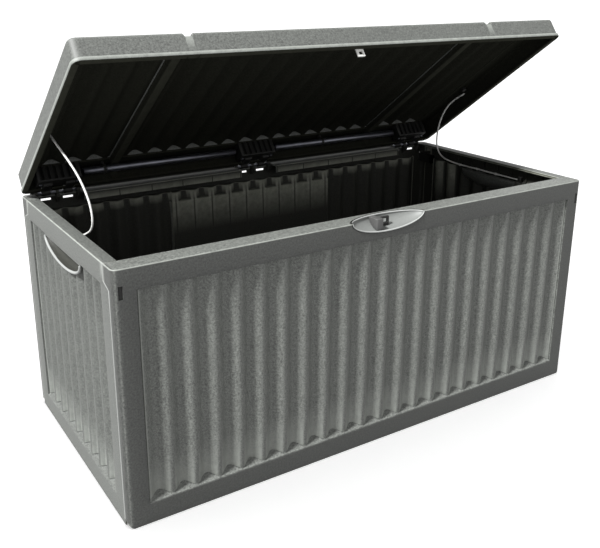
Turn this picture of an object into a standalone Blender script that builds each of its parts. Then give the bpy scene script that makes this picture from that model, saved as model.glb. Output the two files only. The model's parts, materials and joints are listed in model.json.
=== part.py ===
"""Deck storage box: five moulded resin panels and a ribbed lid on three hinges, held back by two stay cords.

Frame: metres, +Z up, +X to the right, front towards -Y, origin on the floor under the middle of the box.
Wall panels are drawn lying in their own frame: x along the panel, y inwards from its outer face, z up.
The lid and all it carries are drawn shut, from the hinge line, and then turned to the angle they rest at.
"""
import math

import bmesh
import bpy
from mathutils import Vector

# ---- overall sizes ----
WIDTH = 1.200             # outside of the walls, along X
DEPTH = 0.580             # outside of the walls, along Y
RIM_HEIGHT = 0.522        # top of the rim above the floor
REST_ANGLE = math.radians(36.0)   # how far the lid stands open

# ---- mouldings ----
WALL = 0.0035             # thickness of every moulded skin
SEAM = 0.0006             # gap between pieces that meet
STILE = 0.043             # plain margin at each end of a wall
BOTTOM_RAIL = 0.043       # plain margin under a corrugated field
TOP_RAIL = 0.043          # plain margin over a corrugated field
LEDGE_SLOPE = 0.45        # rise of the ledge at a field's foot over its depth
RIDGE_DEPTH = 0.003       # outermost line of the corrugation, behind the frame's face
WAVE_DEPTH = 0.0125       # how much further in the hollows reach
LONG_WAVES = 22
SHORT_WAVES = 9
WAVE_STEPS = 4            # facets per wave
LONG_RIM = 0.046          # width of the front and rear rims' top faces
LONG_LIP = 0.020          # how far their inner edges turn down
SHORT_RIM = 0.027         # the same two sizes of the side rims
SHORT_LIP = 0.006
FOOT_RADIUS = 0.012       # rounding of the long walls' bottom corners
CORNER_STEPS = 4

# ---- corner returns and their clips ----
RETURN_LOW = 0.020        # width of the long walls' return round the corner
SLANT_TOP = 0.033         # the return widens to the rim's width from the top rail's edge up to this depth
CLIP_IN = 0.0135          # clip centre, in from the end of the wall
CLIP_WIDTH = 0.007
CLIP_HEIGHT = 0.024
CLIP_DROP = 0.044         # clip centre, under the rim
CLIP_FIT = 0.0006
CLIP_SUNK = 0.0012        # catch, behind the long wall's outer face
CLIP_REACH = 0.012        # how far a clip's root runs on inside the side wall
CLIP_ROOT = 0.008
TONGUE_GAP = 0.010        # from the clip down to the long tongue under it

# ---- rear wall ----
FLAT_HALF = 0.240         # plain area in the middle of the field
FLAT_TOP_DROP = 0.068     # its top, under the rim

# ---- grip in each side wall ----
GRIP_HALF = 0.111
GRIP_HEIGHT = 0.031
GRIP_DEPTH = 0.030
GRIP_DROP = 0.046         # top of the grip, under the rim
GRIP_LIP = 0.006          # thickness of the moulding round it

# ---- latch hollow in the front rim ----
DISH_HALF = 0.094
DISH_BACK = 0.037
DISH_DROP = 0.028
DISH_WALL = 0.003
POST_X = -0.021
POST_WIDTH = 0.016
POST_FIT = 0.965          # share of the hollow that the post fills
POST_IN = 0.004           # its front, behind the front face
POST_DROP = 0.002         # its top, under the rim
STAPLE_BACK = 0.018       # staple, behind the front face
STAPLE_THICK = 0.005
STAPLE_HALF = 0.011
STAPLE_X = 0.002
STAPLE_EYE = 0.009        # height of its padlock eye
TONGUE_BACK = 0.0105
TONGUE_THICK = 0.004
TONGUE_HALF = 0.009
TONGUE_DROP = 0.016       # how far it hangs under the lid
TONGUE_RISE = 0.026       # how far it reaches up behind the skirt
TONGUE_PAD = 0.010        # height of the pad that meets the skirt
TONGUE_EYE = 0.008        # height of its padlock eye
BAR = 0.004               # stock round a padlock eye

# ---- floor panel ----
FLOOR_INSET = 0.010       # in from the walls' outer faces
FLOOR_FLANGE = 0.025
PADS_X = 6
PADS_Y = 3
PAD_GAP = 0.034
PAD_RISE = 0.008
PAD_SLOPE = 0.006

# ---- lid ----
LID_HEIGHT = 0.048        # skirt, without the raised field
LID_OVERHANG = 0.004
LID_REAR_INSET = 0.014
LID_FLANGE = 0.0025       # step at the foot of the skirt
LID_FLANGE_HEIGHT = 0.007
LID_FOOT = 0.014          # width of the edge that rests on the rim
LID_EDGE = 0.006          # bevel along the top edges
LID_CORNER = 0.018        # rounding of the lid's upright corners
LID_BORDER = 0.048        # plain margin round the raised field
LID_RIDGE = 0.003         # field's lowest and highest lines over the margin
LID_WAVE = 0.011
CHANNEL_HALF = 0.0135
CHANNEL_DEPTH = 0.009
CHANNEL_WAVE = 3.5        # waves from the field's end to a channel's middle

# ---- hinges ----
HINGE_IN = 0.0075         # hinge line, in from the rear face
HINGE_END = 0.080         # middle of an outer station, in from the end of the box
STATION_HALF = 0.052
PIN_RADIUS = 0.003
PIN_FIT = 0.0004
KNUCKLE = 0.0064          # radius of an eye
WEB = 0.007               # thickness of the rear wall's upright webs
WEB_DEPTH = 0.020         # how far they reach in from the rear face
WEB_HEIGHT = 0.0235       # and down from the rim
ARM = 0.020               # width of the lid's arms
ARM_FIT = 0.001           # gap beside an arm in the lid's skirt and in the rear edge
ARM_CLEAR = 0.002         # how deep the rear edge is cut away behind an arm, under the rim
EYE_SIDES = 16
WINDOW_HALF = 0.012
WINDOW_HEIGHT = 0.0055
WINDOW_DROP = 0.0135      # top of a window, under the rim
STATION_DROP = 0.0105     # how deep the rim is cut away at a station
STATION_SKIN = 0.0008     # what is left of the rear face behind the eyes
REAR_STAND = 0.0045       # height of the edge that stands up behind the lid
BLOCK_DEPTH = 0.036
BLOCK_RIBS = 7
RIB_WIDTH = 0.008
RIB_DEPTH = 0.008
RIB_FOOT = 0.004          # solid strip under the grooves
BLOCK_LIFT = 0.0065       # underside of a hinge block, over the foot of the lid's skirt
ARM_LOW = 0.0012          # underside of a block's arm, over the same level
ARM_HIGH = 0.0105
ARM_REACH = 0.030         # how far an arm runs forwards from the rear face
SKIRT_NOTCH = 0.014

# ---- round stiffeners under the lid's rear edge ----
TUBE_RADIUS = 0.009
TUBE_WALL = 0.0015
TUBE_IN = 0.0455          # tube's middle, in front of the rear face
TUBE_RISE = 0.026         # tube's middle, over the rim
TUBE_END = 0.010          # from a tube's end to its hinge block
CLAMP_WIDTH = 0.006
CLAMP_WALL = 0.0025
CLAMP_X = (-0.410, 0.210)

# ---- stay cords ----
CORD_RADIUS = 0.0021
CORD_RINGS = 56
STUD_RADIUS = 0.007
STUD_HEIGHT = 0.010
STUD_SIDES = 12
STUD_CROWN = 0.0015       # slope at its free end
STUD_PLACE = (0.0255, 0.035)     # a stud, in from the end and from the front of the box
PEG_IN = 0.0145           # a peg, in from the side wall's face
WALL_PEG_Y = -0.112
WALL_PEG_SIZE = (0.008, 0.010, 0.012)
SCREW_RADIUS = 0.004
SCREW_HEIGHT = 0.0022
SCREW_CROWN = 0.0008
SCREW_IN = 0.0075         # a screw, in from the end of its hinge block

# Routes of the two cords, from their studs on the standing lid down to their pegs on the side walls' ledges.
# The left one hangs out towards the front and turns back under the rim, the right one towards the rear.
LEFT_ROUTE = [
    (-0.5745, 0.1025, 0.6890), (-0.5728, 0.0800, 0.6792), (-0.5690, 0.0490, 0.6640),
    (-0.5640, 0.0150, 0.6455), (-0.5600, -0.0180, 0.6250), (-0.5580, -0.0470, 0.6030),
    (-0.5570, -0.0690, 0.5780), (-0.5570, -0.0770, 0.5510), (-0.5575, -0.0665, 0.5290),
    (-0.5590, -0.0390, 0.5130), (-0.5615, -0.0120, 0.5020), (-0.5655, 0.0105, 0.4940),
    (-0.5710, 0.0252, 0.4890), (-0.5785, 0.0310, 0.4866), (-0.5840, 0.0235, 0.4858),
    (-0.5857, 0.0060, 0.4858), (-0.5856, -0.0230, 0.4860), (-0.5860, -0.0520, 0.4858),
    (-0.5858, -0.0800, 0.4860), (-0.5855, -0.1060, 0.4864),
]
RIGHT_ROUTE = [
    (0.5745, 0.1025, 0.6890), (0.5740, 0.1180, 0.6800), (0.5720, 0.1390, 0.6660), (0.5695, 0.1570, 0.6490),
    (0.5675, 0.1710, 0.6280), (0.5665, 0.1820, 0.6040), (0.5660, 0.1890, 0.5780), (0.5660, 0.1920, 0.5520),
    (0.5665, 0.1900, 0.5290), (0.5680, 0.1810, 0.5095), (0.5725, 0.1650, 0.4970), (0.5785, 0.1430, 0.4900),
    (0.5835, 0.1180, 0.4868), (0.5855, 0.0920, 0.4860), (0.5860, 0.0640, 0.4858), (0.5856, 0.0350, 0.4862),
    (0.5852, 0.0060, 0.4858), (0.5856, -0.0230, 0.4860), (0.5860, -0.0520, 0.4858), (0.5858, -0.0800, 0.4860),
    (0.5855, -0.1060, 0.4864),
]

HALF_W = WIDTH / 2
HALF_D = DEPTH / 2
HINGE_Y = HALF_D - HINGE_IN
HINGE_Z = RIM_HEIGHT
STATIONS = {"left": HINGE_END - HALF_W, "middle": 0.0, "right": HALF_W - HINGE_END}

LOOKS = {
    "dark_resin": ((0.100, 0.104, 0.098, 1.0), 0.60, 0.0),
    "black_resin": ((0.012, 0.012, 0.011, 1.0), 0.50, 0.0),
    "steel": ((0.42, 0.44, 0.47, 1.0), 0.35, 1.0),
    "grey_resin": ((0.20, 0.20, 0.19, 1.0), 0.55, 0.0),
    "pale_cord": ((0.62, 0.62, 0.60, 1.0), 0.80, 0.0),
}


def clear_scene():
    for obj in list(bpy.data.objects):
        bpy.data.objects.remove(obj, do_unlink=True)


def material(look, name):
    """A material of the piece's own."""
    colour, roughness, metallic = LOOKS[look]
    mat = bpy.data.materials.new(name)
    mat.use_nodes = True
    shader = mat.node_tree.nodes["Principled BSDF"]
    shader.inputs["Base Color"].default_value = colour
    shader.inputs["Roughness"].default_value = roughness
    shader.inputs["Metallic"].default_value = metallic
    return mat


def merge_flats(bm):
    """Join neighbouring faces that lie in one plane."""
    bmesh.ops.dissolve_limit(bm, angle_limit=math.radians(0.1), use_dissolve_boundaries=False,
                             verts=bm.verts, edges=bm.edges)


def make_object(name, bm, look=None):
    """An object from a bmesh that is one closed shape, with its faces turned out."""
    bmesh.ops.remove_doubles(bm, verts=bm.verts, dist=1e-6)
    bmesh.ops.recalc_face_normals(bm, faces=bm.faces)
    merge_flats(bm)
    mesh = bpy.data.meshes.new(name)
    bm.to_mesh(mesh)
    bm.free()
    obj = bpy.data.objects.new(name, mesh)
    bpy.context.scene.collection.objects.link(obj)
    if look:
        mesh.materials.append(material(look, name))
    return obj


def smooth(obj, angle=math.radians(32)):
    obj.data.shade_smooth()
    obj.data.set_sharp_from_angle(angle=angle)


def between_skins(outer, inner):
    """A closed shape between two grids of points that match one to one."""
    bm = bmesh.new()
    front = [[bm.verts.new(p) for p in row] for row in outer]
    back = [[bm.verts.new(p) for p in row] for row in inner]
    rows, cols = len(front), len(front[0])
    for i in range(rows - 1):
        for j in range(cols - 1):
            bm.faces.new((front[i][j], front[i][j + 1], front[i + 1][j + 1], front[i + 1][j]))
            bm.faces.new((back[i][j], back[i + 1][j], back[i + 1][j + 1], back[i][j + 1]))
    rim = [(0, j) for j in range(cols)]
    rim += [(i, cols - 1) for i in range(1, rows)]
    rim += [(rows - 1, j) for j in range(cols - 2, -1, -1)]
    rim += [(i, 0) for i in range(rows - 2, 0, -1)]
    for (i, j), (k, m) in zip(rim, rim[1:] + rim[:1]):
        bm.faces.new((front[k][m], front[i][j], back[i][j], back[k][m]))
    return bm


def add_box(bm, low, high):
    """A box between two corners, added to a bmesh."""
    corners = [bm.verts.new((x, y, z)) for z in (low[2], high[2])
               for x, y in ((low[0], low[1]), (high[0], low[1]), (high[0], high[1]), (low[0], high[1]))]
    faces = ((3, 2, 1, 0), (4, 5, 6, 7), (0, 1, 5, 4), (1, 2, 6, 5), (2, 3, 7, 6), (3, 0, 4, 7))
    for face in faces:
        bm.faces.new([corners[k] for k in face])


def boxes(name, spans, look=None):
    bm = bmesh.new()
    for low, high in spans:
        add_box(bm, low, high)
    return make_object(name, bm, look)


def add_prism(bm, outline, axis, low, high):
    """A prism on an outline of (a, b) pairs, along axis 0 (a, b = y, z) or axis 1 (a, b = x, z)."""
    rings = []
    for level in (low, high):
        ring = [(level, a, b) if axis == 0 else (a, level, b) for a, b in outline]
        rings.append([bm.verts.new(p) for p in ring])
    count = len(outline)
    bm.faces.new(rings[0])
    bm.faces.new(list(reversed(rings[1])))
    for k in range(count):
        m = (k + 1) % count
        bm.faces.new((rings[0][m], rings[0][k], rings[1][k], rings[1][m]))


def prism(name, outline, axis, low, high, look=None):
    bm = bmesh.new()
    add_prism(bm, outline, axis, low, high)
    return make_object(name, bm, look)


def circle(radius, centre=(0.0, 0.0), sides=EYE_SIDES, start=0.0, sweep=2 * math.pi):
    """Points on a circle, or on part of one when sweep is less than a full turn."""
    full = abs(sweep - 2 * math.pi) < 1e-9
    count = sides if full else sides + 1
    return [(centre[0] + radius * math.cos(start + sweep * k / sides),
             centre[1] + radius * math.sin(start + sweep * k / sides)) for k in range(count)]


def ellipsoid(name, centre, radii, segments=32, rings=16):
    """A whole ellipsoid whose poles lie on the X axis, as a tool for cutting and joining."""
    bm = bmesh.new()
    bmesh.ops.create_uvsphere(bm, u_segments=segments, v_segments=rings, radius=1.0)
    for vert in bm.verts:
        x, y, z = vert.co
        vert.co = (centre[0] + z * radii[0], centre[1] + x * radii[1], centre[2] + y * radii[2])
    return make_object(name, bm)


def combine(obj, tool, operation):
    """Join, cut or trim with another object, which is used up."""
    step = obj.modifiers.new(operation.lower(), "BOOLEAN")
    step.object = tool
    step.operation = operation
    step.solver = "EXACT"
    bpy.context.view_layer.update()
    graph = bpy.context.evaluated_depsgraph_get()
    mesh = bpy.data.meshes.new_from_object(obj.evaluated_get(graph))
    obj.modifiers.clear()
    obj.data = mesh
    bpy.data.objects.remove(tool, do_unlink=True)
    bm = bmesh.new()
    bm.from_mesh(mesh)
    bmesh.ops.remove_doubles(bm, verts=bm.verts, dist=2e-6)
    merge_flats(bm)
    bm.to_mesh(mesh)
    bm.free()


# ---- wall panels ----

def wave(x, start, pitch):
    """0 on a ridge and 1 in a hollow."""
    return (1 - math.cos(2 * math.pi * (x - start) / pitch)) / 2


def wall_columns(half, waves):
    """Places along a wall: (x of the face, x of the back, whether the field is there)."""
    edge = half - STILE
    pitch = 2 * edge / waves
    turns = [math.pi / 2 * k / CORNER_STEPS for k in range(CORNER_STEPS + 1)]
    ends = [half - FOOT_RADIUS * (1 - math.cos(turn)) for turn in turns]
    left = [(-x, -x, False) for x in ends] + [(-edge, -edge - WALL, False), (-edge, -edge - WALL, True)]
    field = [(x, x, True) for x in (-edge + pitch * k / WAVE_STEPS for k in range(1, waves * WAVE_STEPS))]
    right = [(-x, -y, flag) for x, y, flag in reversed(left)]
    return left + field + right, edge, pitch


def foot(x, half, radius):
    """Height of a wall's bottom edge, which rises round its corners."""
    reach = abs(x) - (half - radius)
    if reach <= 0:
        return 0.0
    return radius - math.sqrt(max(radius * radius - reach * reach, 0.0))


def wall_skins(half, waves, rim, lip, flat=None):
    """The two skins of a wall: a corrugated field in a plain frame, under a rim turned in and down."""
    columns, edge, pitch = wall_columns(half, waves)
    top = RIM_HEIGHT - TOP_RAIL
    shoulder = RIM_HEIGHT - SLANT_TOP
    outer, inner = [], []
    for x, back_x, in_field in columns:
        depth = RIDGE_DEPTH + WAVE_DEPTH * wave(x, -edge, pitch) if in_field else 0.0
        low_depth, split = depth, top - 2 * WALL
        if flat:
            split = RIM_HEIGHT - FLAT_TOP_DROP
            if abs(x) < FLAT_HALF:
                low_depth = RIDGE_DEPTH + WAVE_DEPTH
        bottom = foot(x, half, FOOT_RADIUS)
        ledge = BOTTOM_RAIL + LEDGE_SLOPE * low_depth
        face = [(0.0, bottom), (0.0, BOTTOM_RAIL), (low_depth, ledge), (low_depth, split), (depth, split),
                (depth, top), (0.0, top), (0.0, shoulder), (0.0, RIM_HEIGHT), (rim, RIM_HEIGHT),
                (rim, RIM_HEIGHT - lip)]
        back = [(WALL, bottom), (WALL, BOTTOM_RAIL - WALL), (low_depth + WALL, ledge - WALL),
                (low_depth + WALL, split + WALL), (depth + WALL, split + WALL), (depth + WALL, top + WALL),
                (WALL, top + WALL), (WALL, shoulder), (WALL, RIM_HEIGHT - WALL),
                (rim - WALL, RIM_HEIGHT - WALL), (rim - WALL, RIM_HEIGHT - lip)]
        outer.append([(x, y, z) for y, z in face])
        inner.append([(back_x, y, z) for y, z in back])
    return outer, inner


def long_wall(name, flat=False):
    """A front or rear wall, with returns that reach round its two corners."""
    outer, inner = wall_skins(HALF_W, LONG_WAVES, LONG_RIM, LONG_LIP, flat)
    wall = make_object(name, between_skins(outer, inner), "dark_resin")
    shoulder = RIM_HEIGHT - SLANT_TOP
    waist = RIM_HEIGHT - TOP_RAIL
    deep = LONG_RIM - WALL / 2
    outline = [(WALL / 2, FOOT_RADIUS), (RETURN_LOW, FOOT_RADIUS), (RETURN_LOW, waist), (deep, shoulder),
               (deep, RIM_HEIGHT - WALL / 2), (WALL / 2, RIM_HEIGHT - WALL / 2)]
    for side in (-1, 1):
        ends = sorted((side * HALF_W, side * (HALF_W - WALL)))
        combine(wall, prism("return", outline, 0, *ends), "UNION")
        slot = clip_span(side, CLIP_FIT)
        cut = boxes("slot", [((slot[0][0], -WALL, slot[0][1]), (slot[1][0], 2 * WALL, slot[1][1]))])
        combine(wall, cut, "DIFFERENCE")
    return wall


def clip_span(side, fit):
    """Lowest and highest (x, z) of the clip at one end of a long wall, grown by fit all round."""
    x = side * (HALF_W - CLIP_IN)
    z = RIM_HEIGHT - CLIP_DROP
    half_x = CLIP_WIDTH / 2 + fit
    half_z = CLIP_HEIGHT / 2 + fit
    return (x - half_x, z - half_z), (x + half_x, z + half_z)


def short_wall(name):
    """A side wall that stands between the long walls' returns, with its clips and its grip."""
    half = HALF_D - RETURN_LOW - SEAM
    outer, inner = wall_skins(half, SHORT_WAVES, SHORT_RIM, SHORT_LIP)
    cut_back = LONG_RIM - RETURN_LOW
    waist = RIM_HEIGHT - TOP_RAIL
    for rows in (outer, inner):
        for row in rows:
            for k, (x, y, z) in enumerate(row):
                if abs(x) > half - FOOT_RADIUS - 1e-6:
                    share = min(max((z - waist) / (TOP_RAIL - SLANT_TOP), 0.0), 1.0)
                    row[k] = (x - math.copysign(cut_back * share, x), y, z if z > FOOT_RADIUS else 0.0)
    wall = make_object(name, between_skins(outer, inner), "dark_resin")
    ledge = RIM_HEIGHT - TOP_RAIL + WALL
    pitch = 2 * (half - STILE) / SHORT_WAVES
    ribs = []
    for k in range(1, SHORT_WAVES):
        x = -(half - STILE) + pitch * k
        ribs.append(((x - 0.00125, WALL / 2, ledge - WALL / 2), (x + 0.00125, 0.009, RIM_HEIGHT - WALL / 2)))
    combine(wall, boxes("ribs", ribs), "UNION")
    for side in (-1, 1):
        for span in clip_boxes(side, half):
            combine(wall, boxes("clip", [span]), "UNION")
    centre = (0.0, 0.0, RIM_HEIGHT - GRIP_DROP)
    shell = (GRIP_HALF + GRIP_LIP, GRIP_DEPTH + WALL, GRIP_HEIGHT + GRIP_LIP)
    moulding = ellipsoid("moulding", centre, shell)
    keep = boxes("keep", [((-HALF_D, 0.0, 0.0), (HALF_D, GRIP_DEPTH * 2, centre[2] + WALL))])
    combine(moulding, keep, "INTERSECT")
    combine(wall, moulding, "UNION")
    hollow = ellipsoid("hollow", centre, (GRIP_HALF, GRIP_DEPTH, GRIP_HEIGHT))
    keep = boxes("keep", [((-HALF_D, -GRIP_DEPTH * 2, 0.0), (HALF_D, GRIP_DEPTH * 2, centre[2]))])
    combine(hollow, keep, "INTERSECT")
    combine(wall, hollow, "DIFFERENCE")
    return wall


def clip_boxes(side, half):
    """Spans of one corner's clip: its arm behind the long wall's return, its root and its catch."""
    low_z = RIM_HEIGHT - CLIP_DROP - CLIP_HEIGHT / 2
    high_z = low_z + CLIP_HEIGHT
    reach = HALF_D - WALL - SEAM
    root = HALF_D - LONG_RIM - SEAM
    arm_in = CLIP_IN + CLIP_WIDTH / 2
    tongue_in = 2 * WALL + SEAM

    def span(from_end, to_end, y_low, y_high, z_low, z_high):
        ends = sorted((side * from_end, side * to_end))
        return (ends[0], y_low, z_low), (ends[1], y_high, z_high)

    yield span(root - CLIP_REACH, reach, WALL + SEAM, arm_in, low_z, high_z)
    yield span(root - CLIP_REACH, root - CLIP_REACH + CLIP_ROOT, WALL / 2, arm_in, low_z, high_z)
    yield span(reach - 0.001, HALF_D - CLIP_SUNK, CLIP_IN - CLIP_WIDTH / 2, arm_in, low_z, high_z)
    high_z = low_z - TONGUE_GAP
    yield span(half - CLIP_REACH, reach, WALL + SEAM, tongue_in, BOTTOM_RAIL, high_z)
    yield span(half - CLIP_REACH, half - CLIP_REACH + CLIP_ROOT, WALL / 2, tongue_in, BOTTOM_RAIL, high_z)


def dress_front(wall):
    """Hollow for the latch, moulded into the front rim's outer edge."""
    centre = (0.0, 0.0, RIM_HEIGHT)
    shell = (DISH_HALF + DISH_WALL, DISH_BACK + DISH_WALL, DISH_DROP + DISH_WALL)
    body = ellipsoid("body", centre, shell)
    deep, top = LONG_RIM - WALL / 2, RIM_HEIGHT - WALL / 2
    keep = boxes("keep", [((-HALF_W, WALL / 2, 0.0), (HALF_W, deep, top))])
    combine(body, keep, "INTERSECT")
    combine(wall, body, "UNION")
    combine(wall, ellipsoid("hollow", centre, (DISH_HALF, DISH_BACK, DISH_DROP)), "DIFFERENCE")
    slot = ((STAPLE_X - 0.009, STAPLE_BACK + STAPLE_THICK, RIM_HEIGHT - 0.015),
            (STAPLE_X + 0.009, LONG_RIM - 2 * WALL, RIM_HEIGHT - 0.007))
    combine(wall, boxes("slot", [slot]), "DIFFERENCE")


def dress_rear(wall):
    """Edge that stands up behind the lid, and hinge stations cut in the rim with webs and windows."""
    reach = HALF_W - RETURN_LOW
    stand = boxes("stand", [((-reach, 0.0, RIM_HEIGHT - WALL / 2), (reach, WALL, RIM_HEIGHT + REAR_STAND))])
    combine(wall, stand, "UNION")
    for x in STATIONS.values():
        low, high = x - STATION_HALF, x + STATION_HALF
        cuts = [((low, STATION_SKIN, RIM_HEIGHT - STATION_DROP), (high, LONG_RIM + WALL, RIM_HEIGHT + WALL)),
                ((low, LONG_RIM - 2 * WALL, RIM_HEIGHT - LONG_LIP - WALL),
                 (high, LONG_RIM + WALL, RIM_HEIGHT + WALL)),
                ((low, STATION_SKIN, RIM_HEIGHT), (high, 2 * WALL, RIM_HEIGHT + 2 * REAR_STAND))]
        for cut in cuts:
            combine(wall, boxes("cut", [cut]), "DIFFERENCE")
        for offset in (-STATION_HALF + WEB / 2 - 0.001, 0.0, STATION_HALF - WEB / 2 + 0.001):
            eye = circle(KNUCKLE - 0.001, (HINGE_IN, RIM_HEIGHT), EYE_SIDES // 2, 0.0, math.pi)
            outline = [(HINGE_IN + KNUCKLE - 0.001, RIM_HEIGHT - WALL)] + eye
            outline += [(WALL / 2, RIM_HEIGHT - STATION_DROP), (WALL / 2, RIM_HEIGHT - WEB_HEIGHT)]
            outline += [(WEB_DEPTH / 2, RIM_HEIGHT - WEB_HEIGHT), (WEB_DEPTH, RIM_HEIGHT - STATION_DROP)]
            outline += [(WEB_DEPTH, RIM_HEIGHT - WALL)]
            web = prism("web", outline, 0, x + offset - WEB / 2, x + offset + WEB / 2)
            combine(wall, web, "UNION")
        bore = prism("bore", circle(PIN_RADIUS + PIN_FIT, (HINGE_IN, HINGE_Z)), 0, low - 0.001, high + 0.001)
        combine(wall, bore, "DIFFERENCE")
        for side in (-1, 1):
            centre = x + side * STATION_HALF / 2
            half = ARM / 2 + ARM_FIT
            room = ((centre - half, -WALL, RIM_HEIGHT - ARM_CLEAR),
                    (centre + half, 2 * WALL, RIM_HEIGHT + 2 * REAR_STAND))
            combine(wall, boxes("room", [room]), "DIFFERENCE")
            top = RIM_HEIGHT - WINDOW_DROP
            window = ((centre - WINDOW_HALF, -WALL, top - WINDOW_HEIGHT),
                      (centre + WINDOW_HALF, 2 * WALL, top))
            combine(wall, boxes("window", [window]), "DIFFERENCE")


# ---- floor ----

def pad_profile(half, count):
    """Places along one side of the floor with the share of the pad height there."""
    edge = half - PAD_GAP / 2
    pitch = 2 * edge / count
    places = [(-half, 0.0)]
    for k in range(count):
        low = -edge + pitch * k + PAD_GAP / 2
        high = -edge + pitch * (k + 1) - PAD_GAP / 2
        places += [(low, 0.0), (low + PAD_SLOPE, 1.0), (high - PAD_SLOPE, 1.0), (high, 0.0)]
    return places + [(half, 0.0)]


def floor_panel():
    """A tray with raised pads between its ribs and an upturned edge inside the walls."""
    half_x = HALF_W - FLOOR_INSET
    half_y = HALF_D - FLOOR_INSET
    xs = pad_profile(half_x - WALL, PADS_X)
    ys = pad_profile(half_y - WALL, PADS_Y)
    under, over = [], []
    for x, share_x in xs:
        under.append([(x, y, PAD_RISE * min(share_x, share_y)) for y, share_y in ys])
        over.append([(x, y, PAD_RISE * min(share_x, share_y) + WALL) for y, share_y in ys])
    floor = make_object("floor_panel", between_skins(under, over), "dark_resin")
    flange = boxes("flange", [((-half_x, -half_y, 0.0), (half_x, half_y, FLOOR_FLANGE))])
    in_x, in_y = half_x - WALL, half_y - WALL
    inside = boxes("inside", [((-in_x, -in_y, -WALL), (in_x, in_y, FLOOR_FLANGE * 2))])
    combine(flange, inside, "DIFFERENCE")
    combine(floor, flange, "UNION")
    return floor


# ---- lid, drawn from the hinge line ----

LID_LOW = RIM_HEIGHT + SEAM - HINGE_Z
LID_TOP = LID_LOW + LID_HEIGHT
LID_HALF_X = HALF_W + LID_OVERHANG
LID_FRONT = -HALF_D - LID_OVERHANG - HINGE_Y
LID_REAR = HALF_D - LID_REAR_INSET - HINGE_Y
LID_UNDER = LID_TOP - WALL


def lid_side(low, high, field):
    """Places across the lid, as (outer, inner, height limit from below, field) from one edge to the other."""
    def end(edge, turn):
        wall = edge + turn * LID_FLANGE
        places = [(edge, edge + turn * LID_FOOT, 0.0, 0.0),
                  (edge, edge + turn * LID_FOOT, LID_FLANGE_HEIGHT, WALL),
                  (wall, wall + turn * WALL, LID_FLANGE_HEIGHT, WALL),
                  (wall, wall + turn * WALL, LID_HEIGHT - CHANNEL_DEPTH, LID_HEIGHT - CHANNEL_DEPTH - WALL),
                  (wall, wall + turn * WALL, LID_HEIGHT - LID_EDGE, LID_HEIGHT - LID_EDGE),
                  (wall + turn * LID_EDGE * 0.3, wall + turn * (WALL + 0.0005), LID_HEIGHT - LID_EDGE * 0.3,
                   LID_HEIGHT - LID_EDGE * 0.9),
                  (wall + turn * LID_EDGE, wall + turn * (LID_EDGE + 0.001), LID_HEIGHT, LID_HEIGHT - WALL)]
        for k in (1, 2, 3):
            place = wall + turn * (LID_EDGE + (LID_CORNER - LID_EDGE) * k / 3)
            places.append((place, place, LID_HEIGHT, LID_HEIGHT - WALL))
        return places

    middle = [(face, back, LID_HEIGHT, LID_HEIGHT - WALL) for face, back in field]
    return end(low, 1) + middle + list(reversed(end(high, -1)))


def field_columns():
    """Columns over the raised field, as (x of the face, x of the underside, rise over the margin, kind)."""
    edge = LID_HALF_X - LID_BORDER
    pitch = 2 * edge / LONG_WAVES
    channels = [-edge + CHANNEL_WAVE * pitch, edge - CHANNEL_WAVE * pitch]
    stops = [(-edge, -edge - WALL, ("border", "field")), (edge, edge + WALL, ("field", "border"))]
    for middle in channels:
        low, high = middle - CHANNEL_HALF, middle + CHANNEL_HALF
        stops.append((low, low - WALL, ("field", "border", "channel")))
        stops.append((high, high + WALL, ("channel", "border", "field")))
    for k in range(1, LONG_WAVES * WAVE_STEPS):
        x = -edge + pitch * k / WAVE_STEPS
        near_stop = any(abs(x - stop[0]) < pitch / 16 for stop in stops if len(stop[2]) > 1)
        if not near_stop and all(abs(x - middle) > CHANNEL_HALF for middle in channels):
            stops.append((x, x, ("field",)))
    columns = []
    for x, under_x, kinds in sorted(stops):
        raised = LID_RIDGE + LID_WAVE * wave(x, -edge, pitch)
        heights = {"border": 0.0, "channel": -CHANNEL_DEPTH, "field": raised}
        columns += [(x, under_x, heights[kind], kind) for kind in kinds]
    return columns


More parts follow.
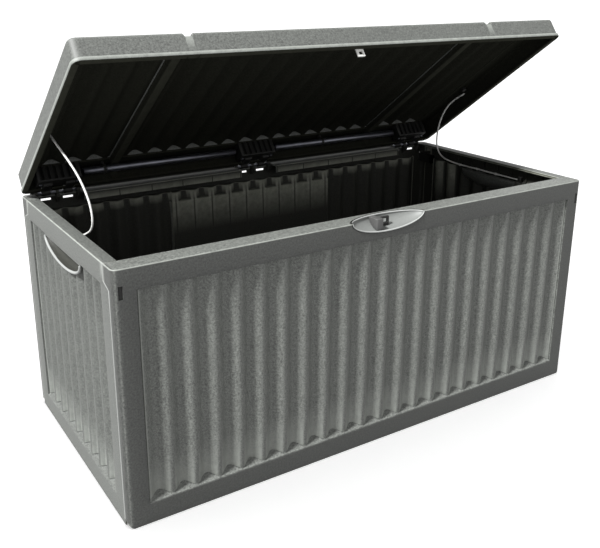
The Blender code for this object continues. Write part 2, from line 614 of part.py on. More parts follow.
def lid_shell():
    """Shallow tray with a raised, corrugated field and two channels that run front to back."""
    columns = field_columns()
    across = lid_side(-LID_HALF_X, LID_HALF_X, [(x, back) for x, back, _, _ in columns])
    ends = (len(across) - len(columns)) // 2
    rises = [0.0] * ends + [rise for _, _, rise, _ in columns] + [0.0] * ends
    kinds = ["border"] * ends + [kind for _, _, _, kind in columns] + ["border"] * ends

    front_edge = LID_FRONT + LID_BORDER
    rear_edge = LID_REAR - LID_BORDER + 0.004
    rows_field = [(front_edge, front_edge - WALL), (front_edge, front_edge - WALL),
                  (rear_edge, rear_edge + WALL), (rear_edge, rear_edge + WALL)]
    along = lid_side(LID_FRONT, LID_REAR, rows_field)
    row_ends = (len(along) - len(rows_field)) // 2
    raised_rows = {row_ends + 1, row_ends + 2}

    outer, inner = [], []
    for i, (x_out, x_in, x_top, x_under) in enumerate(across):
        face, back = [], []
        for j, (y_out, y_in, y_top, y_under) in enumerate(along):
            rise = 0.0
            if kinds[i] == "channel":
                rise = -CHANNEL_DEPTH
            elif kinds[i] == "field" and j in raised_rows:
                rise = rises[i]
            limit = min(x_top, y_top)
            limit_in = min(x_under, y_under)
            top = min(limit, LID_HEIGHT + rise) if rise < 0 else limit
            under = min(limit_in, LID_HEIGHT - WALL + rise) if rise < 0 else limit_in
            if rise > 0:
                top, under = top + rise, under + rise
            face.append(round_corner(x_out, y_out, LID_LOW + top, LID_CORNER, 0.0))
            back.append(round_corner(x_in, y_in, LID_LOW + under, LID_CORNER, WALL))
        outer.append(face)
        inner.append(back)
    lid = make_object("lid", between_skins(outer, inner), "dark_resin")
    half = ARM / 2 + ARM_FIT
    for x in STATIONS.values():
        for turn in (-1, 1):
            centre = x + turn * STATION_HALF / 2
            notch = ((centre - half, LID_REAR - LID_FOOT - 0.002, LID_LOW - WALL),
                     (centre + half, LID_REAR + WALL, LID_LOW + SKIRT_NOTCH))
            combine(lid, boxes("notch", [notch]), "DIFFERENCE")
    return lid


def round_corner(x, y, z, radius, inset):
    """Bend the square plan of a lid's corner into an arc."""
    middle = (LID_FRONT + LID_REAR) / 2
    half_y = (LID_REAR - LID_FRONT) / 2
    over_x = abs(x) - (LID_HALF_X - radius)
    over_y = abs(y - middle) - (half_y - radius)
    if over_x <= 1e-9 or over_y <= 1e-9:
        return (x, y, z)
    share = max(over_x, over_y) / math.hypot(over_x, over_y)
    return (math.copysign(LID_HALF_X - radius + over_x * share, x),
            middle + math.copysign(half_y - radius + over_y * share, y - middle), z)


def hinge_block(side, x, pivot):
    """Ribbed block under the lid with two arms whose eyes turn on the pin."""
    rear = LID_REAR - LID_FLANGE - LID_EDGE - 2 * SEAM - WALL / 4
    front = rear - BLOCK_DEPTH
    half = STATION_HALF - 0.002
    low = LID_LOW + BLOCK_LIFT
    high = LID_UNDER - SEAM
    block = boxes("hinge_block_" + side, [((x - half, front, low), (x + half, rear, high))], "black_resin")
    groove_pitch = (2 * half - RIB_WIDTH) / (BLOCK_RIBS - 1)
    grooves = []
    for k in range(BLOCK_RIBS - 1):
        start = x - half + RIB_WIDTH + groove_pitch * k
        stop = start + groove_pitch - RIB_WIDTH
        grooves.append(((start, front - 0.001, low + RIB_FOOT), (stop, front + RIB_DEPTH, high + 0.001)))
    combine(block, boxes("grooves", grooves), "DIFFERENCE")
    for turn in (-1, 1):
        centre = x + turn * STATION_HALF / 2
        reach = HINGE_IN + ARM_REACH
        outline = [(-reach, LID_LOW + ARM_LOW), (-KNUCKLE * 0.8, LID_LOW + ARM_LOW)]
        outline += circle(KNUCKLE, sides=EYE_SIDES, start=math.radians(190), sweep=math.radians(260))
        outline += [(0.0, LID_LOW + ARM_HIGH), (-reach, LID_LOW + ARM_HIGH)]
        arm = prism("arm", outline, 0, centre - ARM / 2, centre + ARM / 2)
        combine(block, arm, "UNION")
    bore = prism("bore", circle(PIN_RADIUS + PIN_FIT), 0, x - STATION_HALF, x + STATION_HALF)
    combine(block, bore, "DIFFERENCE")
    block.parent = pivot
    return front, half


def tube(name, start, end, centre, radius, wall, look):
    """A straight round tube along X; centre is its (y, z)."""
    outer = circle(radius, centre)
    bore = circle(radius - wall, centre)
    bm = bmesh.new()
    rings = [[bm.verts.new((x, y, z)) for y, z in ring]
             for x, ring in ((start, outer), (end, outer), (end, bore), (start, bore))]
    for k in range(4):
        a, b = rings[k], rings[(k + 1) % 4]
        for m in range(EYE_SIDES):
            n = (m + 1) % EYE_SIDES
            bm.faces.new((a[m], a[n], b[n], b[m]))
    obj = make_object(name, bm, look)
    smooth(obj)
    return obj


def post(name, centre, radius, low, high, look, sides=EYE_SIDES, crown=0.0):
    """An upright round stud, with a narrower end at its low side when crown is given."""
    bm = bmesh.new()
    levels = [(low + crown, radius), (high, radius)]
    if crown:
        levels.insert(0, (low, radius - crown))
    rings = [[bm.verts.new((x, y, z)) for x, y in circle(r, centre, sides)] for z, r in levels]
    for a, b in zip(rings, rings[1:]):
        for m in range(sides):
            n = (m + 1) % sides
            bm.faces.new((a[m], a[n], b[n], b[m]))
    bm.faces.new(list(reversed(rings[0])))
    bm.faces.new(rings[-1])
    obj = make_object(name, bm, look)
    smooth(obj)
    return obj


def lid_fittings(pivot):
    """Everything under the lid: hinge blocks and screws, stiffeners and clamps, cord studs, latch tongue."""
    spans = {}
    for side, x in STATIONS.items():
        front, half = hinge_block(side, x, pivot)
        spans[side] = (x - half, x + half)
        for turn, name in ((-1, "a"), (1, "b")):
            centre = (x + turn * (half - SCREW_IN), front + BLOCK_DEPTH / 2)
            seat = LID_LOW + BLOCK_LIFT - SEAM
            screw = post("hinge_screw_%s_%s" % (side, name), centre, SCREW_RADIUS, seat - SCREW_HEIGHT, seat,
                         "steel", STUD_SIDES, SCREW_CROWN)
            screw.parent = pivot
    centre = (HALF_D - TUBE_IN - HINGE_Y, TUBE_RISE)
    ends = {"left": (spans["left"][1] + TUBE_END, spans["middle"][0] - TUBE_END),
            "right": (spans["middle"][1] + TUBE_END, spans["right"][0] - TUBE_END)}
    for (side, (start, end)), x in zip(ends.items(), CLAMP_X):
        bar = tube("lid_stiffener_" + side, start, end, centre, TUBE_RADIUS, TUBE_WALL, "steel")
        bar.parent = pivot
        outer = TUBE_RADIUS + SEAM + CLAMP_WALL
        ring = circle(outer, centre, EYE_SIDES, math.radians(-250), math.radians(320))
        high = LID_UNDER - SEAM
        outline = ring[:-1] + [(centre[0] + outer * math.cos(math.radians(70)), high),
                               (centre[0] + outer * math.cos(math.radians(110)), high)]
        half = CLAMP_WIDTH / 2
        clamp = prism("stiffener_clamp_" + side, outline, 0, x - half, x + half, "black_resin")
        bore = prism("bore", circle(TUBE_RADIUS + SEAM, centre), 0, x - CLAMP_WIDTH, x + CLAMP_WIDTH)
        combine(clamp, bore, "DIFFERENCE")
        clamp.parent = pivot
    for side, turn in (("left", -1), ("right", 1)):
        centre = (turn * (HALF_W - STUD_PLACE[0]), STUD_PLACE[1] - HINGE_Y)
        seat = LID_UNDER - SEAM
        stud = post("cord_stud_" + side, centre, STUD_RADIUS, seat - STUD_HEIGHT, seat, "black_resin",
                    STUD_SIDES, STUD_CROWN)
        stud.parent = pivot
    y = TONGUE_BACK - HALF_D - HINGE_Y
    low, high = LID_LOW - TONGUE_DROP, LID_LOW + TONGUE_RISE
    skirt = LID_FRONT + LID_FLANGE + WALL + SEAM
    spans = [((-TONGUE_HALF, y, low), (TONGUE_HALF, y + TONGUE_THICK, high))]
    tongue = boxes("latch_tongue", spans, "grey_resin")
    pad = boxes("pad", [((-TONGUE_HALF, skirt, high - TONGUE_PAD), (TONGUE_HALF, y + TONGUE_THICK, high))])
    combine(tongue, pad, "UNION")
    half = TONGUE_HALF - BAR
    eye = boxes("eye", [((-half, y - BAR, low + BAR),
                         (half, y + TONGUE_THICK + BAR, low + BAR + TONGUE_EYE))])
    combine(tongue, eye, "DIFFERENCE")
    tongue.parent = pivot


def latch_fittings():
    """Post and padlock staple that stand in the front rim's hollow."""
    centre = (0.0, -HALF_D, RIM_HEIGHT)
    radii = (DISH_HALF * POST_FIT, DISH_BACK * POST_FIT, DISH_DROP * POST_FIT)
    half = POST_WIDTH / 2
    span = ((POST_X - half, -HALF_D + POST_IN, RIM_HEIGHT - DISH_DROP),
            (POST_X + half, -HALF_D + DISH_BACK, RIM_HEIGHT - POST_DROP))
    block = boxes("latch_post", [span], "grey_resin")
    combine(block, ellipsoid("trim", centre, radii), "INTERSECT")
    y = -HALF_D + STAPLE_BACK
    low = RIM_HEIGHT - DISH_DROP
    high = RIM_HEIGHT - 0.003
    left, right = STAPLE_X - STAPLE_HALF, STAPLE_X + STAPLE_HALF
    staple = boxes("latch_staple", [((left, y, low), (right, y + STAPLE_THICK, high))], "black_resin")
    combine(staple, ellipsoid("trim", centre, radii), "INTERSECT")
    eye_low = high - BAR - STAPLE_EYE
    eye = boxes("eye", [((left + BAR, y - 0.01, eye_low), (right - BAR, y + 0.01, high - BAR))])
    combine(staple, eye, "DIFFERENCE")


def hinge_pins():
    for side, x in STATIONS.items():
        outline = circle(PIN_RADIUS, (HINGE_Y, HINGE_Z))
        pin = prism("hinge_pin_" + side, outline, 0, x - STATION_HALF, x + STATION_HALF, "steel")
        smooth(pin)


def cord_pegs():
    """Upright pegs on the side walls' ledges, where the cords end."""
    for side, turn in (("left", -1), ("right", 1)):
        x = turn * (HALF_W - PEG_IN)
        size = WALL_PEG_SIZE
        low = RIM_HEIGHT - TOP_RAIL + WALL + SEAM
        span = ((x - size[0] / 2, WALL_PEG_Y - size[1] / 2, low),
                (x + size[0] / 2, WALL_PEG_Y + size[1] / 2, low + size[2]))
        boxes("cord_peg_" + side, [span], "black_resin")


def smooth_route(points, count):
    """Evenly counted points on a smooth curve through the route's own points."""
    pts = [Vector(p) for p in points]
    pts = [2 * pts[0] - pts[1]] + pts + [2 * pts[-1] - pts[-2]]
    spans = len(points) - 1
    result = []
    for k in range(count):
        at = spans * k / (count - 1)
        i = min(int(at), spans - 1)
        t = at - i
        a, b, c, d = pts[i:i + 4]
        result.append(0.5 * (2 * b + (c - a) * t + (2 * a - 5 * b + 4 * c - d) * t * t
                             + (3 * b - a - 3 * c + d) * t ** 3))
    return result


def cords():
    for side, route in (("left", LEFT_ROUTE), ("right", RIGHT_ROUTE)):
        curve = bpy.data.curves.new("stay_cord_" + side, "CURVE")
        curve.dimensions = "3D"
        curve.bevel_depth = CORD_RADIUS
        curve.bevel_resolution = 2
        curve.use_fill_caps = True
        points = smooth_route(route, CORD_RINGS)
        spline = curve.splines.new("POLY")
        spline.points.add(len(points) - 1)
        for slot, point in zip(spline.points, points):
            slot.co = (point.x, point.y, point.z, 1.0)
        obj = bpy.data.objects.new("stay_cord_" + side, curve)
        curve.materials.append(material("pale_cord", obj.name))
        bpy.context.scene.collection.objects.link(obj)


def place(obj, location, turn):
    obj.location = location
    obj.rotation_euler.z = turn


def main():
    clear_scene()
    front = long_wall("front_panel")
    dress_front(front)
    place(front, (0.0, -HALF_D, 0.0), 0.0)
    rear = long_wall("rear_panel", flat=True)
    dress_rear(rear)
    place(rear, (0.0, HALF_D, 0.0), math.pi)
    place(short_wall("left_panel"), (-HALF_W, 0.0, 0.0), -math.pi / 2)
    place(short_wall("right_panel"), (HALF_W, 0.0, 0.0), math.pi / 2)
    floor_panel()
    hinge_pins()
    latch_fittings()
    cord_pegs()
    pivot = bpy.data.objects.new("lid_pivot", None)
    bpy.context.scene.collection.objects.link(pivot)
    pivot.location = (0.0, HINGE_Y, HINGE_Z)
    pivot.rotation_euler.x = -REST_ANGLE
    lid_shell().parent = pivot
    lid_fittings(pivot)
    cords()


main()
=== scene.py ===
"""Looks of the deck storage box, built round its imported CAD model.

Lengths are in metres, in the CAD's own frame.
Wall panels are drawn lying in their own frame: x along the panel, y inwards from its outer face, z up.
The lid and what it carries are drawn shut, from the hinge line, and then turned to the angle they rest at.
"""
import json
import math

import bmesh
import bpy
from mathutils import Matrix, Vector

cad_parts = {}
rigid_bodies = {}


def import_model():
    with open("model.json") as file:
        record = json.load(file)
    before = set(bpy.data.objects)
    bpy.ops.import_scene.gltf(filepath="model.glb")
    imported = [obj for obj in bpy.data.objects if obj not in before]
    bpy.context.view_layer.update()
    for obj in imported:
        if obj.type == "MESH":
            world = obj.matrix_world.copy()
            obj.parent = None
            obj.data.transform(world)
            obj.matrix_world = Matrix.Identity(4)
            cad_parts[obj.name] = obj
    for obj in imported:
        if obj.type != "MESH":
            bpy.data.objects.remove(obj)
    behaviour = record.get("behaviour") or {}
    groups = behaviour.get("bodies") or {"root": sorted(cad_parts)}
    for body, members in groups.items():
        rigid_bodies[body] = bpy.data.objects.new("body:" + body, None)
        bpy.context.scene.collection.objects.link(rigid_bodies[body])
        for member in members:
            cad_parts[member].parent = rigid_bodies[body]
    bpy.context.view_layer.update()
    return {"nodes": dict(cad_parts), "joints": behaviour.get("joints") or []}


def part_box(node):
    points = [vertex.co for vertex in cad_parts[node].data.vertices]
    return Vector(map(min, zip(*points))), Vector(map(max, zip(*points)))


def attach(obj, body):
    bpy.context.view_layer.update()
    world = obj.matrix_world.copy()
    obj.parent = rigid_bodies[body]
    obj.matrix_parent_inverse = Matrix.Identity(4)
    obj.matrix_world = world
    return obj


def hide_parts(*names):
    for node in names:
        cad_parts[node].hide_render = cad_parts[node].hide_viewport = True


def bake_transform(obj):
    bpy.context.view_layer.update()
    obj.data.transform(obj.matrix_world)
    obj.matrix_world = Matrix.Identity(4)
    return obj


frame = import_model()

# ---- sizes read from the frame ----
HALF_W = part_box("front_panel")[1].x
HALF_D = -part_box("front_panel")[0].y
RIM_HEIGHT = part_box("front_panel")[1].z
HINGE = Vector(frame["joints"][0]["pos_m"])

# ---- mouldings, as the CAD has them ----
REST_ANGLE = math.radians(36.0)
WALL = 0.0035
SEAM = 0.0006
STILE = 0.043
BOTTOM_RAIL = 0.043
TOP_RAIL = 0.043
RIDGE_DEPTH = 0.003
WAVE_DEPTH = 0.0125
LONG_WAVES = 22
SHORT_WAVES = 9
LONG_RIM = 0.046
LONG_LIP = 0.020
SHORT_RIM = 0.027
SHORT_LIP = 0.006
CORNER = 0.012            # rounding of the long walls' upright corners and feet
RETURN_LOW = 0.020
SLANT_TOP = 0.033
CLIP_IN = 0.0135
CLIP_SIZE = (0.0070, 0.0240)
CLIP_SLOT = (0.0082, 0.0252)
CLIP_DROP = 0.044
CLIP_SUNK = 0.0012
CLIP_REACH = 0.012        # how far a clip's root runs on inside the side wall
CLIP_ROOT = 0.008
FLAT_HALF = 0.240
FLAT_TOP_DROP = 0.068
GRIP = (0.111, 0.030, 0.031)      # half width, depth, height
GRIP_DROP = 0.046
GRIP_LIP = 0.006
DISH = (0.094, 0.037, 0.028)      # half width, reach back, drop
DISH_WALL = 0.003
BEAD_SUNK = 0.0018        # so that the shut lid clears the bead along the dish's rear edge
SEAM_BEAD = 0.0013
SEAM_BEAD_IN = 0.0009
STATIONS = (-0.520, 0.0, 0.520)
STATION_HALF = 0.052
STATION_DROP = 0.0105
STATION_SKIN = 0.0008
REAR_STAND = 0.0045
WINDOW = (0.012, 0.0055, 0.0135)  # half width, height, drop of its top under the rim
HINGE_IN = HALF_D - HINGE.y
PIN_FIT = 0.0004
WEB = 0.007
WEB_DEPTH = 0.020
WEB_HEIGHT = 0.0235
WEB_SLACK = 0.001         # how much the webs drawn here stay inside the CAD's
KNUCKLE = 0.0064
ARM_HALF = 0.011
ARM_CLEAR = 0.002
LID_HEIGHT = 0.048
LID_OVERHANG = 0.004
LID_REAR_INSET = 0.014
LID_FLANGE = 0.0025
LID_FLANGE_HEIGHT = 0.007
LID_FOOT = 0.014
LID_EDGE = 0.006
LID_CORNER = 0.018
LID_BORDER = 0.048
LID_RIDGE = 0.003
LID_WAVE = 0.011
CHANNEL_HALF = 0.0135
CHANNEL_DEPTH = 0.009
CHANNEL_WAVE = 3.5
CORD_RADIUS = 0.0021

# ---- fineness of the visible surfaces ----
SHARP = math.radians(32)  # edges sharper than this aren't shaded round
WAVE_STEPS = 16
ARC_STEPS = 4
ROUND_OUT = 0.0024        # rounding of a rim's outer edge
ROUND_IN = 0.0016         # rounding of a rim's inner edge
ROUND_TIGHT = 0.0004      # rounding on the hidden side of a skin
ROUND_FOOT = 0.0012       # rounding of a wall's bottom edge
ROUND_END = 0.0008        # rounding of a side wall's upright edges
GROOVE = 0.0022           # extra depth of the line where a field meets its stile
LEDGE_SLOPE = 0.60        # rise of the ledge at a field's foot over its depth
BLOCK_END = 0.0006        # half the width of the step beside the rear wall's flat area
RAIL_PROUD = 0.0012       # small ribs on the rear rim's inner face
RAIL_SUNK = 0.0006
RAIL_DROPS = (0.0035, 0.0185)
RAIL_PITCH = 0.075
DISH_STEPS = 64
DISH_TIP = 0.012          # share of its length that the dish's lining stops short of each tip
BORE_SIDES = 24

# ---- places of the camera and the lights ----
CAMERA_AT = Vector((-1.016, -1.508, 0.989))
CAMERA_AIM = Vector((-0.072, 0.0, 0.419))
CAMERA_LENS = 47.63
CAMERA_SHIFT = (0.0238, -0.0666)
KEY_FROM = Vector((-0.607, -0.10, 0.792))
KEY_STRENGTH = 12.0
KEY_ANGLE = math.radians(10)

LEFT_ROUTE = [
    (-0.5745, 0.1025, 0.6890), (-0.5728, 0.0800, 0.6792), (-0.5690, 0.0490, 0.6640),
    (-0.5640, 0.0150, 0.6455), (-0.5600, -0.0180, 0.6250), (-0.5580, -0.0470, 0.6030),
    (-0.5570, -0.0690, 0.5780), (-0.5570, -0.0770, 0.5510), (-0.5575, -0.0665, 0.5290),
    (-0.5590, -0.0390, 0.5130), (-0.5615, -0.0120, 0.5020), (-0.5655, 0.0105, 0.4940),
    (-0.5710, 0.0252, 0.4890), (-0.5785, 0.0310, 0.4866), (-0.5840, 0.0235, 0.4858),
    (-0.5857, 0.0060, 0.4858), (-0.5856, -0.0230, 0.4860), (-0.5860, -0.0520, 0.4858),
    (-0.5858, -0.0800, 0.4860), (-0.5855, -0.1060, 0.4864),
]
RIGHT_ROUTE = [
    (0.5745, 0.1025, 0.6890), (0.5740, 0.1180, 0.6800), (0.5720, 0.1390, 0.6660), (0.5695, 0.1570, 0.6490),
    (0.5675, 0.1710, 0.6280), (0.5665, 0.1820, 0.6040), (0.5660, 0.1890, 0.5780), (0.5660, 0.1920, 0.5520),
    (0.5665, 0.1900, 0.5290), (0.5680, 0.1810, 0.5095), (0.5725, 0.1650, 0.4970), (0.5785, 0.1430, 0.4900),
    (0.5835, 0.1180, 0.4868), (0.5855, 0.0920, 0.4860), (0.5860, 0.0640, 0.4858), (0.5856, 0.0350, 0.4862),
    (0.5852, 0.0060, 0.4858), (0.5856, -0.0230, 0.4860), (0.5860, -0.0520, 0.4858), (0.5858, -0.0800, 0.4860),
    (0.5855, -0.1060, 0.4864),
]
CORD_STEPS = 160
CORD_SIDES = 10
KNOTS = (0.62, 0.74, 0.86)    # shares of the cord's length

LID_POSE = Matrix.Translation(HINGE) @ Matrix.Rotation(-REST_ANGLE, 4, "X")
LID_LOW = RIM_HEIGHT + SEAM - HINGE.z
LID_HALF_X = HALF_W + LID_OVERHANG
LID_FRONT = -HALF_D - LID_OVERHANG - HINGE.y
LID_REAR = HALF_D - LID_REAR_INSET - HINGE.y


# ---- camera, light and floor ----

def make_camera():
    data = bpy.data.cameras.new("camera")
    data.lens = CAMERA_LENS
    data.sensor_width = 36.0
    data.shift_x, data.shift_y = CAMERA_SHIFT
    camera = bpy.data.objects.new("camera", data)
    bpy.context.scene.collection.objects.link(camera)
    camera.location = CAMERA_AT
    camera.rotation_mode = "QUATERNION"
    camera.rotation_quaternion = (CAMERA_AIM - CAMERA_AT).to_track_quat("-Z", "Y")
    bpy.context.scene.camera = camera


def make_stage():
    """A pale floor that runs far behind the object, under an even white sky."""
    bm = bmesh.new()
    bmesh.ops.create_grid(bm, x_segments=8, y_segments=8, size=40.0)
    mesh = bpy.data.meshes.new("studio_floor")
    bm.to_mesh(mesh)
    bm.free()
    floor = bpy.data.objects.new("studio_floor", mesh)
    floor.location.z = -0.0006
    bpy.context.scene.collection.objects.link(floor)
    mat = bpy.data.materials.new("studio_floor")
    mat.use_nodes = True
    shader = mat.node_tree.nodes["Principled BSDF"]
    shader.inputs["Base Color"].default_value = (0.93, 0.93, 0.93, 1.0)
    shader.inputs["Roughness"].default_value = 0.9
    shader.inputs["Specular IOR Level"].default_value = 0.0
    shader.inputs["Emission Color"].default_value = (1.0, 1.0, 1.0, 1.0)
    shader.inputs["Emission Strength"].default_value = 0.35
    mesh.materials.append(mat)
    world = bpy.data.worlds.new("studio")
    world.use_nodes = True
    world.node_tree.nodes["Background"].inputs["Color"].default_value = (1.0, 1.0, 1.0, 1.0)
    world.node_tree.nodes["Background"].inputs["Strength"].default_value = 1.0
    bpy.context.scene.world = world
    bpy.context.scene.view_settings.view_transform = "Standard"
    return floor


def make_key(floor):
    """One large soft light from the upper left, which lights the object and not the floor."""
    data = bpy.data.lights.new("key", "SUN")
    data.energy = KEY_STRENGTH
    data.angle = KEY_ANGLE
    key = bpy.data.objects.new("key", data)
    key.rotation_mode = "QUATERNION"
    key.rotation_quaternion = KEY_FROM.to_track_quat("Z", "Y")
    bpy.context.scene.collection.objects.link(key)
    lit = bpy.data.collections.new("lit_by_key")
    for obj in bpy.context.scene.objects:
        if obj.type == "MESH" and obj != floor:
            lit.objects.link(obj)
    key.light_linking.receiver_collection = lit


# ---- materials ----

def shader_of(name):
    mat = bpy.data.materials.new(name)
    mat.use_nodes = True
    return mat, mat.node_tree, mat.node_tree.nodes["Principled BSDF"]


def add_node(tree, kind, inputs=(), **settings):
    """A node with its settings and its input values or links."""
    node = tree.nodes.new(kind)
    for key, value in settings.items():
        setattr(node, key, value)
    for key, value in dict(inputs).items():
        if isinstance(value, bpy.types.NodeSocket):
            tree.links.new(value, node.inputs[key])
        else:
            node.inputs[key].default_value = value
    return node


def shade(colour, share):
    return tuple(min(c * share, 1.0) for c in colour[:3]) + (1.0,)


def mix_colours(tree, factor, first, second):
    node = add_node(tree, "ShaderNodeMix", {0: factor, 6: first, 7: second}, data_type="RGBA")
    return node.outputs[2]


def spread(tree, value, low, high, from_low=0.3, from_high=0.7):
    node = add_node(tree, "ShaderNodeMapRange", {"Value": value, "From Min": from_low, "From Max": from_high,
                                                 "To Min": low, "To Max": high})
    return node.outputs[0]


def noise(tree, coords, scale, detail=2.0, rough=0.6):
    node = add_node(tree, "ShaderNodeTexNoise", {"Vector": coords, "Scale": scale, "Detail": detail,
                                                 "Roughness": rough})
    return node.outputs["Fac"]


def resin(name, colour, rough=(0.50, 0.68), grain=0.35, speckle=0.30, specular=0.5, edge_highlight=2.4,
          frame_shade=None):
    """Moulded resin: fine spark-eroded grain, mottled tone and cloudy variation, with paler colour on rounded
    edges as a painted highlight, and with frame_shade a painted shade that darkens a long wall's flat frame
    and corner returns.
    """
    mat, tree, shader = shader_of(name)
    coords = add_node(tree, "ShaderNodeTexCoord").outputs["Object"]
    fine = noise(tree, coords, 260.0, 4.0, 0.85)
    cloud = noise(tree, coords, 7.0, 4.0, 0.6)
    # Painted shade: the colour is darkened by frame_shade on a long wall's flat frame and corner returns, and
    # the sunk field gets the full colour back below.
    if frame_shade:
        colour = tuple(c * frame_shade for c in colour)
    spots = spread(tree, fine, 0.0, 1.0, 0.36, 0.64)
    mottled = mix_colours(tree, spots, shade(colour, 1 - speckle), shade(colour, 1 + speckle))
    dust_and_painted_light = mix_colours(tree, spread(tree, cloud, 0.0, 0.30), mottled, shade(colour, 1.25))
    if frame_shade:
        place_in = add_node(tree, "ShaderNodeSeparateXYZ", {"Vector": coords})
        sunk = spread(tree, place_in.outputs["Y"], 0.0, 1.0, 0.0008, 0.0026)
        along = add_node(tree, "ShaderNodeMath", {0: place_in.outputs["X"]}, operation="ABSOLUTE").outputs[0]
        ends = spread(tree, along, 1.0, 0.0, HALF_W - 0.006, HALF_W - 0.003)
        inner = add_node(tree, "ShaderNodeMath", {0: sunk, 1: ends}, operation="MULTIPLY").outputs[0]
        lighter = add_node(tree, "ShaderNodeMix", {0: 1.0, 6: dust_and_painted_light, 7: (1 / frame_shade,) * 3 + (1.0,)},
                           data_type="RGBA", blend_type="MULTIPLY")
        dust_and_painted_light = mix_colours(tree, inner, dust_and_painted_light, lighter.outputs[2])
    # Painted highlight: paler colour on rounded edges, broken up in patches.
    if edge_highlight:
        edge = add_node(tree, "ShaderNodeAttribute", attribute_name="edge_highlight").outputs["Fac"]
        broken = noise(tree, coords, 60.0, 3.0, 0.7)
        patches = spread(tree, broken, 0.55, 1.0)
        share = add_node(tree, "ShaderNodeMath", {0: edge, 1: patches}, operation="MULTIPLY").outputs[0]
        dust_and_painted_light = mix_colours(tree, share, dust_and_painted_light, shade(colour, edge_highlight))
    tree.links.new(dust_and_painted_light, shader.inputs["Base Color"])
    tree.links.new(spread(tree, fine, *rough), shader.inputs["Roughness"])
    height = noise(tree, coords, 900.0, 3.0, 0.65)
    bump = add_node(tree, "ShaderNodeBump", {"Strength": grain, "Distance": 0.0007, "Height": height})
    tree.links.new(bump.outputs[0], shader.inputs["Normal"])
    shader.inputs["Specular IOR Level"].default_value = specular
    return mat


def steel(name, colour, rough=(0.30, 0.50)):
    """Drawn steel with streaks along X, a dull zinc tone and small stains."""
    mat, tree, shader = shader_of(name)
    coords = add_node(tree, "ShaderNodeTexCoord").outputs["Object"]
    drawn = add_node(tree, "ShaderNodeMapping", {"Vector": coords, "Scale": (6.0, 700.0, 700.0)}).outputs[0]
    streak = noise(tree, drawn, 1.0, 3.0, 0.6)
    stain = noise(tree, coords, 45.0, 4.0, 0.65)
    tone = mix_colours(tree, spread(tree, stain, 0.0, 1.0), shade(colour, 0.8), shade(colour, 1.15))
    tree.links.new(tone, shader.inputs["Base Color"])
    tree.links.new(spread(tree, streak, *rough), shader.inputs["Roughness"])
    shader.inputs["Metallic"].default_value = 1.0
    bump = add_node(tree, "ShaderNodeBump", {"Strength": 0.12, "Distance": 0.0004, "Height": streak})
    tree.links.new(bump.outputs[0], shader.inputs["Normal"])
    return mat


def braid(name, colour):
    """Braided cord: two sets of strands that cross, from the tube's own length and turn."""
    mat, tree, shader = shader_of(name)
    uv = add_node(tree, "ShaderNodeUVMap", uv_map="along").outputs[0]
    heights = []
    for slope in (1.0, -1.0):
        turn = (0.0, 0.0, slope * 0.75)
        turned = add_node(tree, "ShaderNodeMapping", {"Vector": uv, "Rotation": turn}).outputs[0]
        strand = add_node(tree, "ShaderNodeTexWave", {"Vector": turned, "Scale": 3.2, "Distortion": 0.4},
                          wave_type="BANDS", bands_direction="X")
        heights.append(strand.outputs["Fac"])
    woven = add_node(tree, "ShaderNodeMath", {0: heights[0], 1: heights[1]}, operation="MAXIMUM").outputs[0]
    tone = mix_colours(tree, woven, shade(colour, 0.55), shade(colour, 1.1))
    tree.links.new(tone, shader.inputs["Base Color"])
    bump = add_node(tree, "ShaderNodeBump", {"Strength": 0.6, "Distance": 0.0005, "Height": woven})
    tree.links.new(bump.outputs[0], shader.inputs["Normal"])
    tree.links.new(spread(tree, woven, 0.9, 0.7, 0.0, 1.0), shader.inputs["Roughness"])
    return mat


RESIN = (0.052, 0.0550, 0.0505)
DARK_RESIN = (0.070, 0.0735, 0.0675)
LOOKS = {
    "outside": resin("resin_outside", RESIN, speckle=0.65, edge_highlight=3.2),
    # Long walls: flat frame and corner returns painted darker than the field as painted shade; pale edges are
    # painted highlights.
    "outside_long": resin("resin_outside_long", DARK_RESIN, speckle=0.80, frame_shade=0.38, edge_highlight=6.0),
    # Near-black resin for the box's inside and the lid's underside: painted shade.
    "inside": resin("resin_inside_painted_shade", (0.018, 0.0185, 0.0155), specular=0.22, speckle=0.5, edge_highlight=10.0),
    "under_lid": resin("resin_under_lid_painted_shade", (0.0120, 0.0123, 0.0096), specular=0.0, speckle=0.4, edge_highlight=2.0),
    # The latch recess is painted lighter than its wall: painted light.
    "dish": resin("resin_dish_painted_light", (0.092, 0.096, 0.092), grain=0.12, speckle=0.10),
    # Pale beads along lips and seams: painted highlights.
    "bead": resin("resin_bead_painted_highlight", (0.20, 0.205, 0.20), grain=0.10, speckle=0.10),
    "bead_side": resin("resin_bead_side_painted_highlight", (0.16, 0.165, 0.16), grain=0.10, speckle=0.10),
    # The edge looks are paler resin for the rounded edges of CAD pieces: painted highlights.
    "black": resin("resin_black", (0.007, 0.007, 0.0065), grain=0.2, specular=0.25),
    "black_edge_highlight": resin("resin_black_edge", (0.034, 0.034, 0.032), grain=0.2, specular=0.3),
    "grey": resin("resin_grey", (0.040, 0.040, 0.039), grain=0.2, speckle=0.15),
    "grey_edge_highlight": resin("resin_grey_edge", (0.075, 0.075, 0.073), grain=0.15, speckle=0.15),
    "pale": resin("resin_pale", (0.55, 0.55, 0.53), grain=0.1, speckle=0.08),
    "steel": steel("zinc_steel", (0.16, 0.165, 0.19)),
    "cord": braid("braided_cord", (0.46, 0.46, 0.445)),
}


# ---- mesh helpers ----

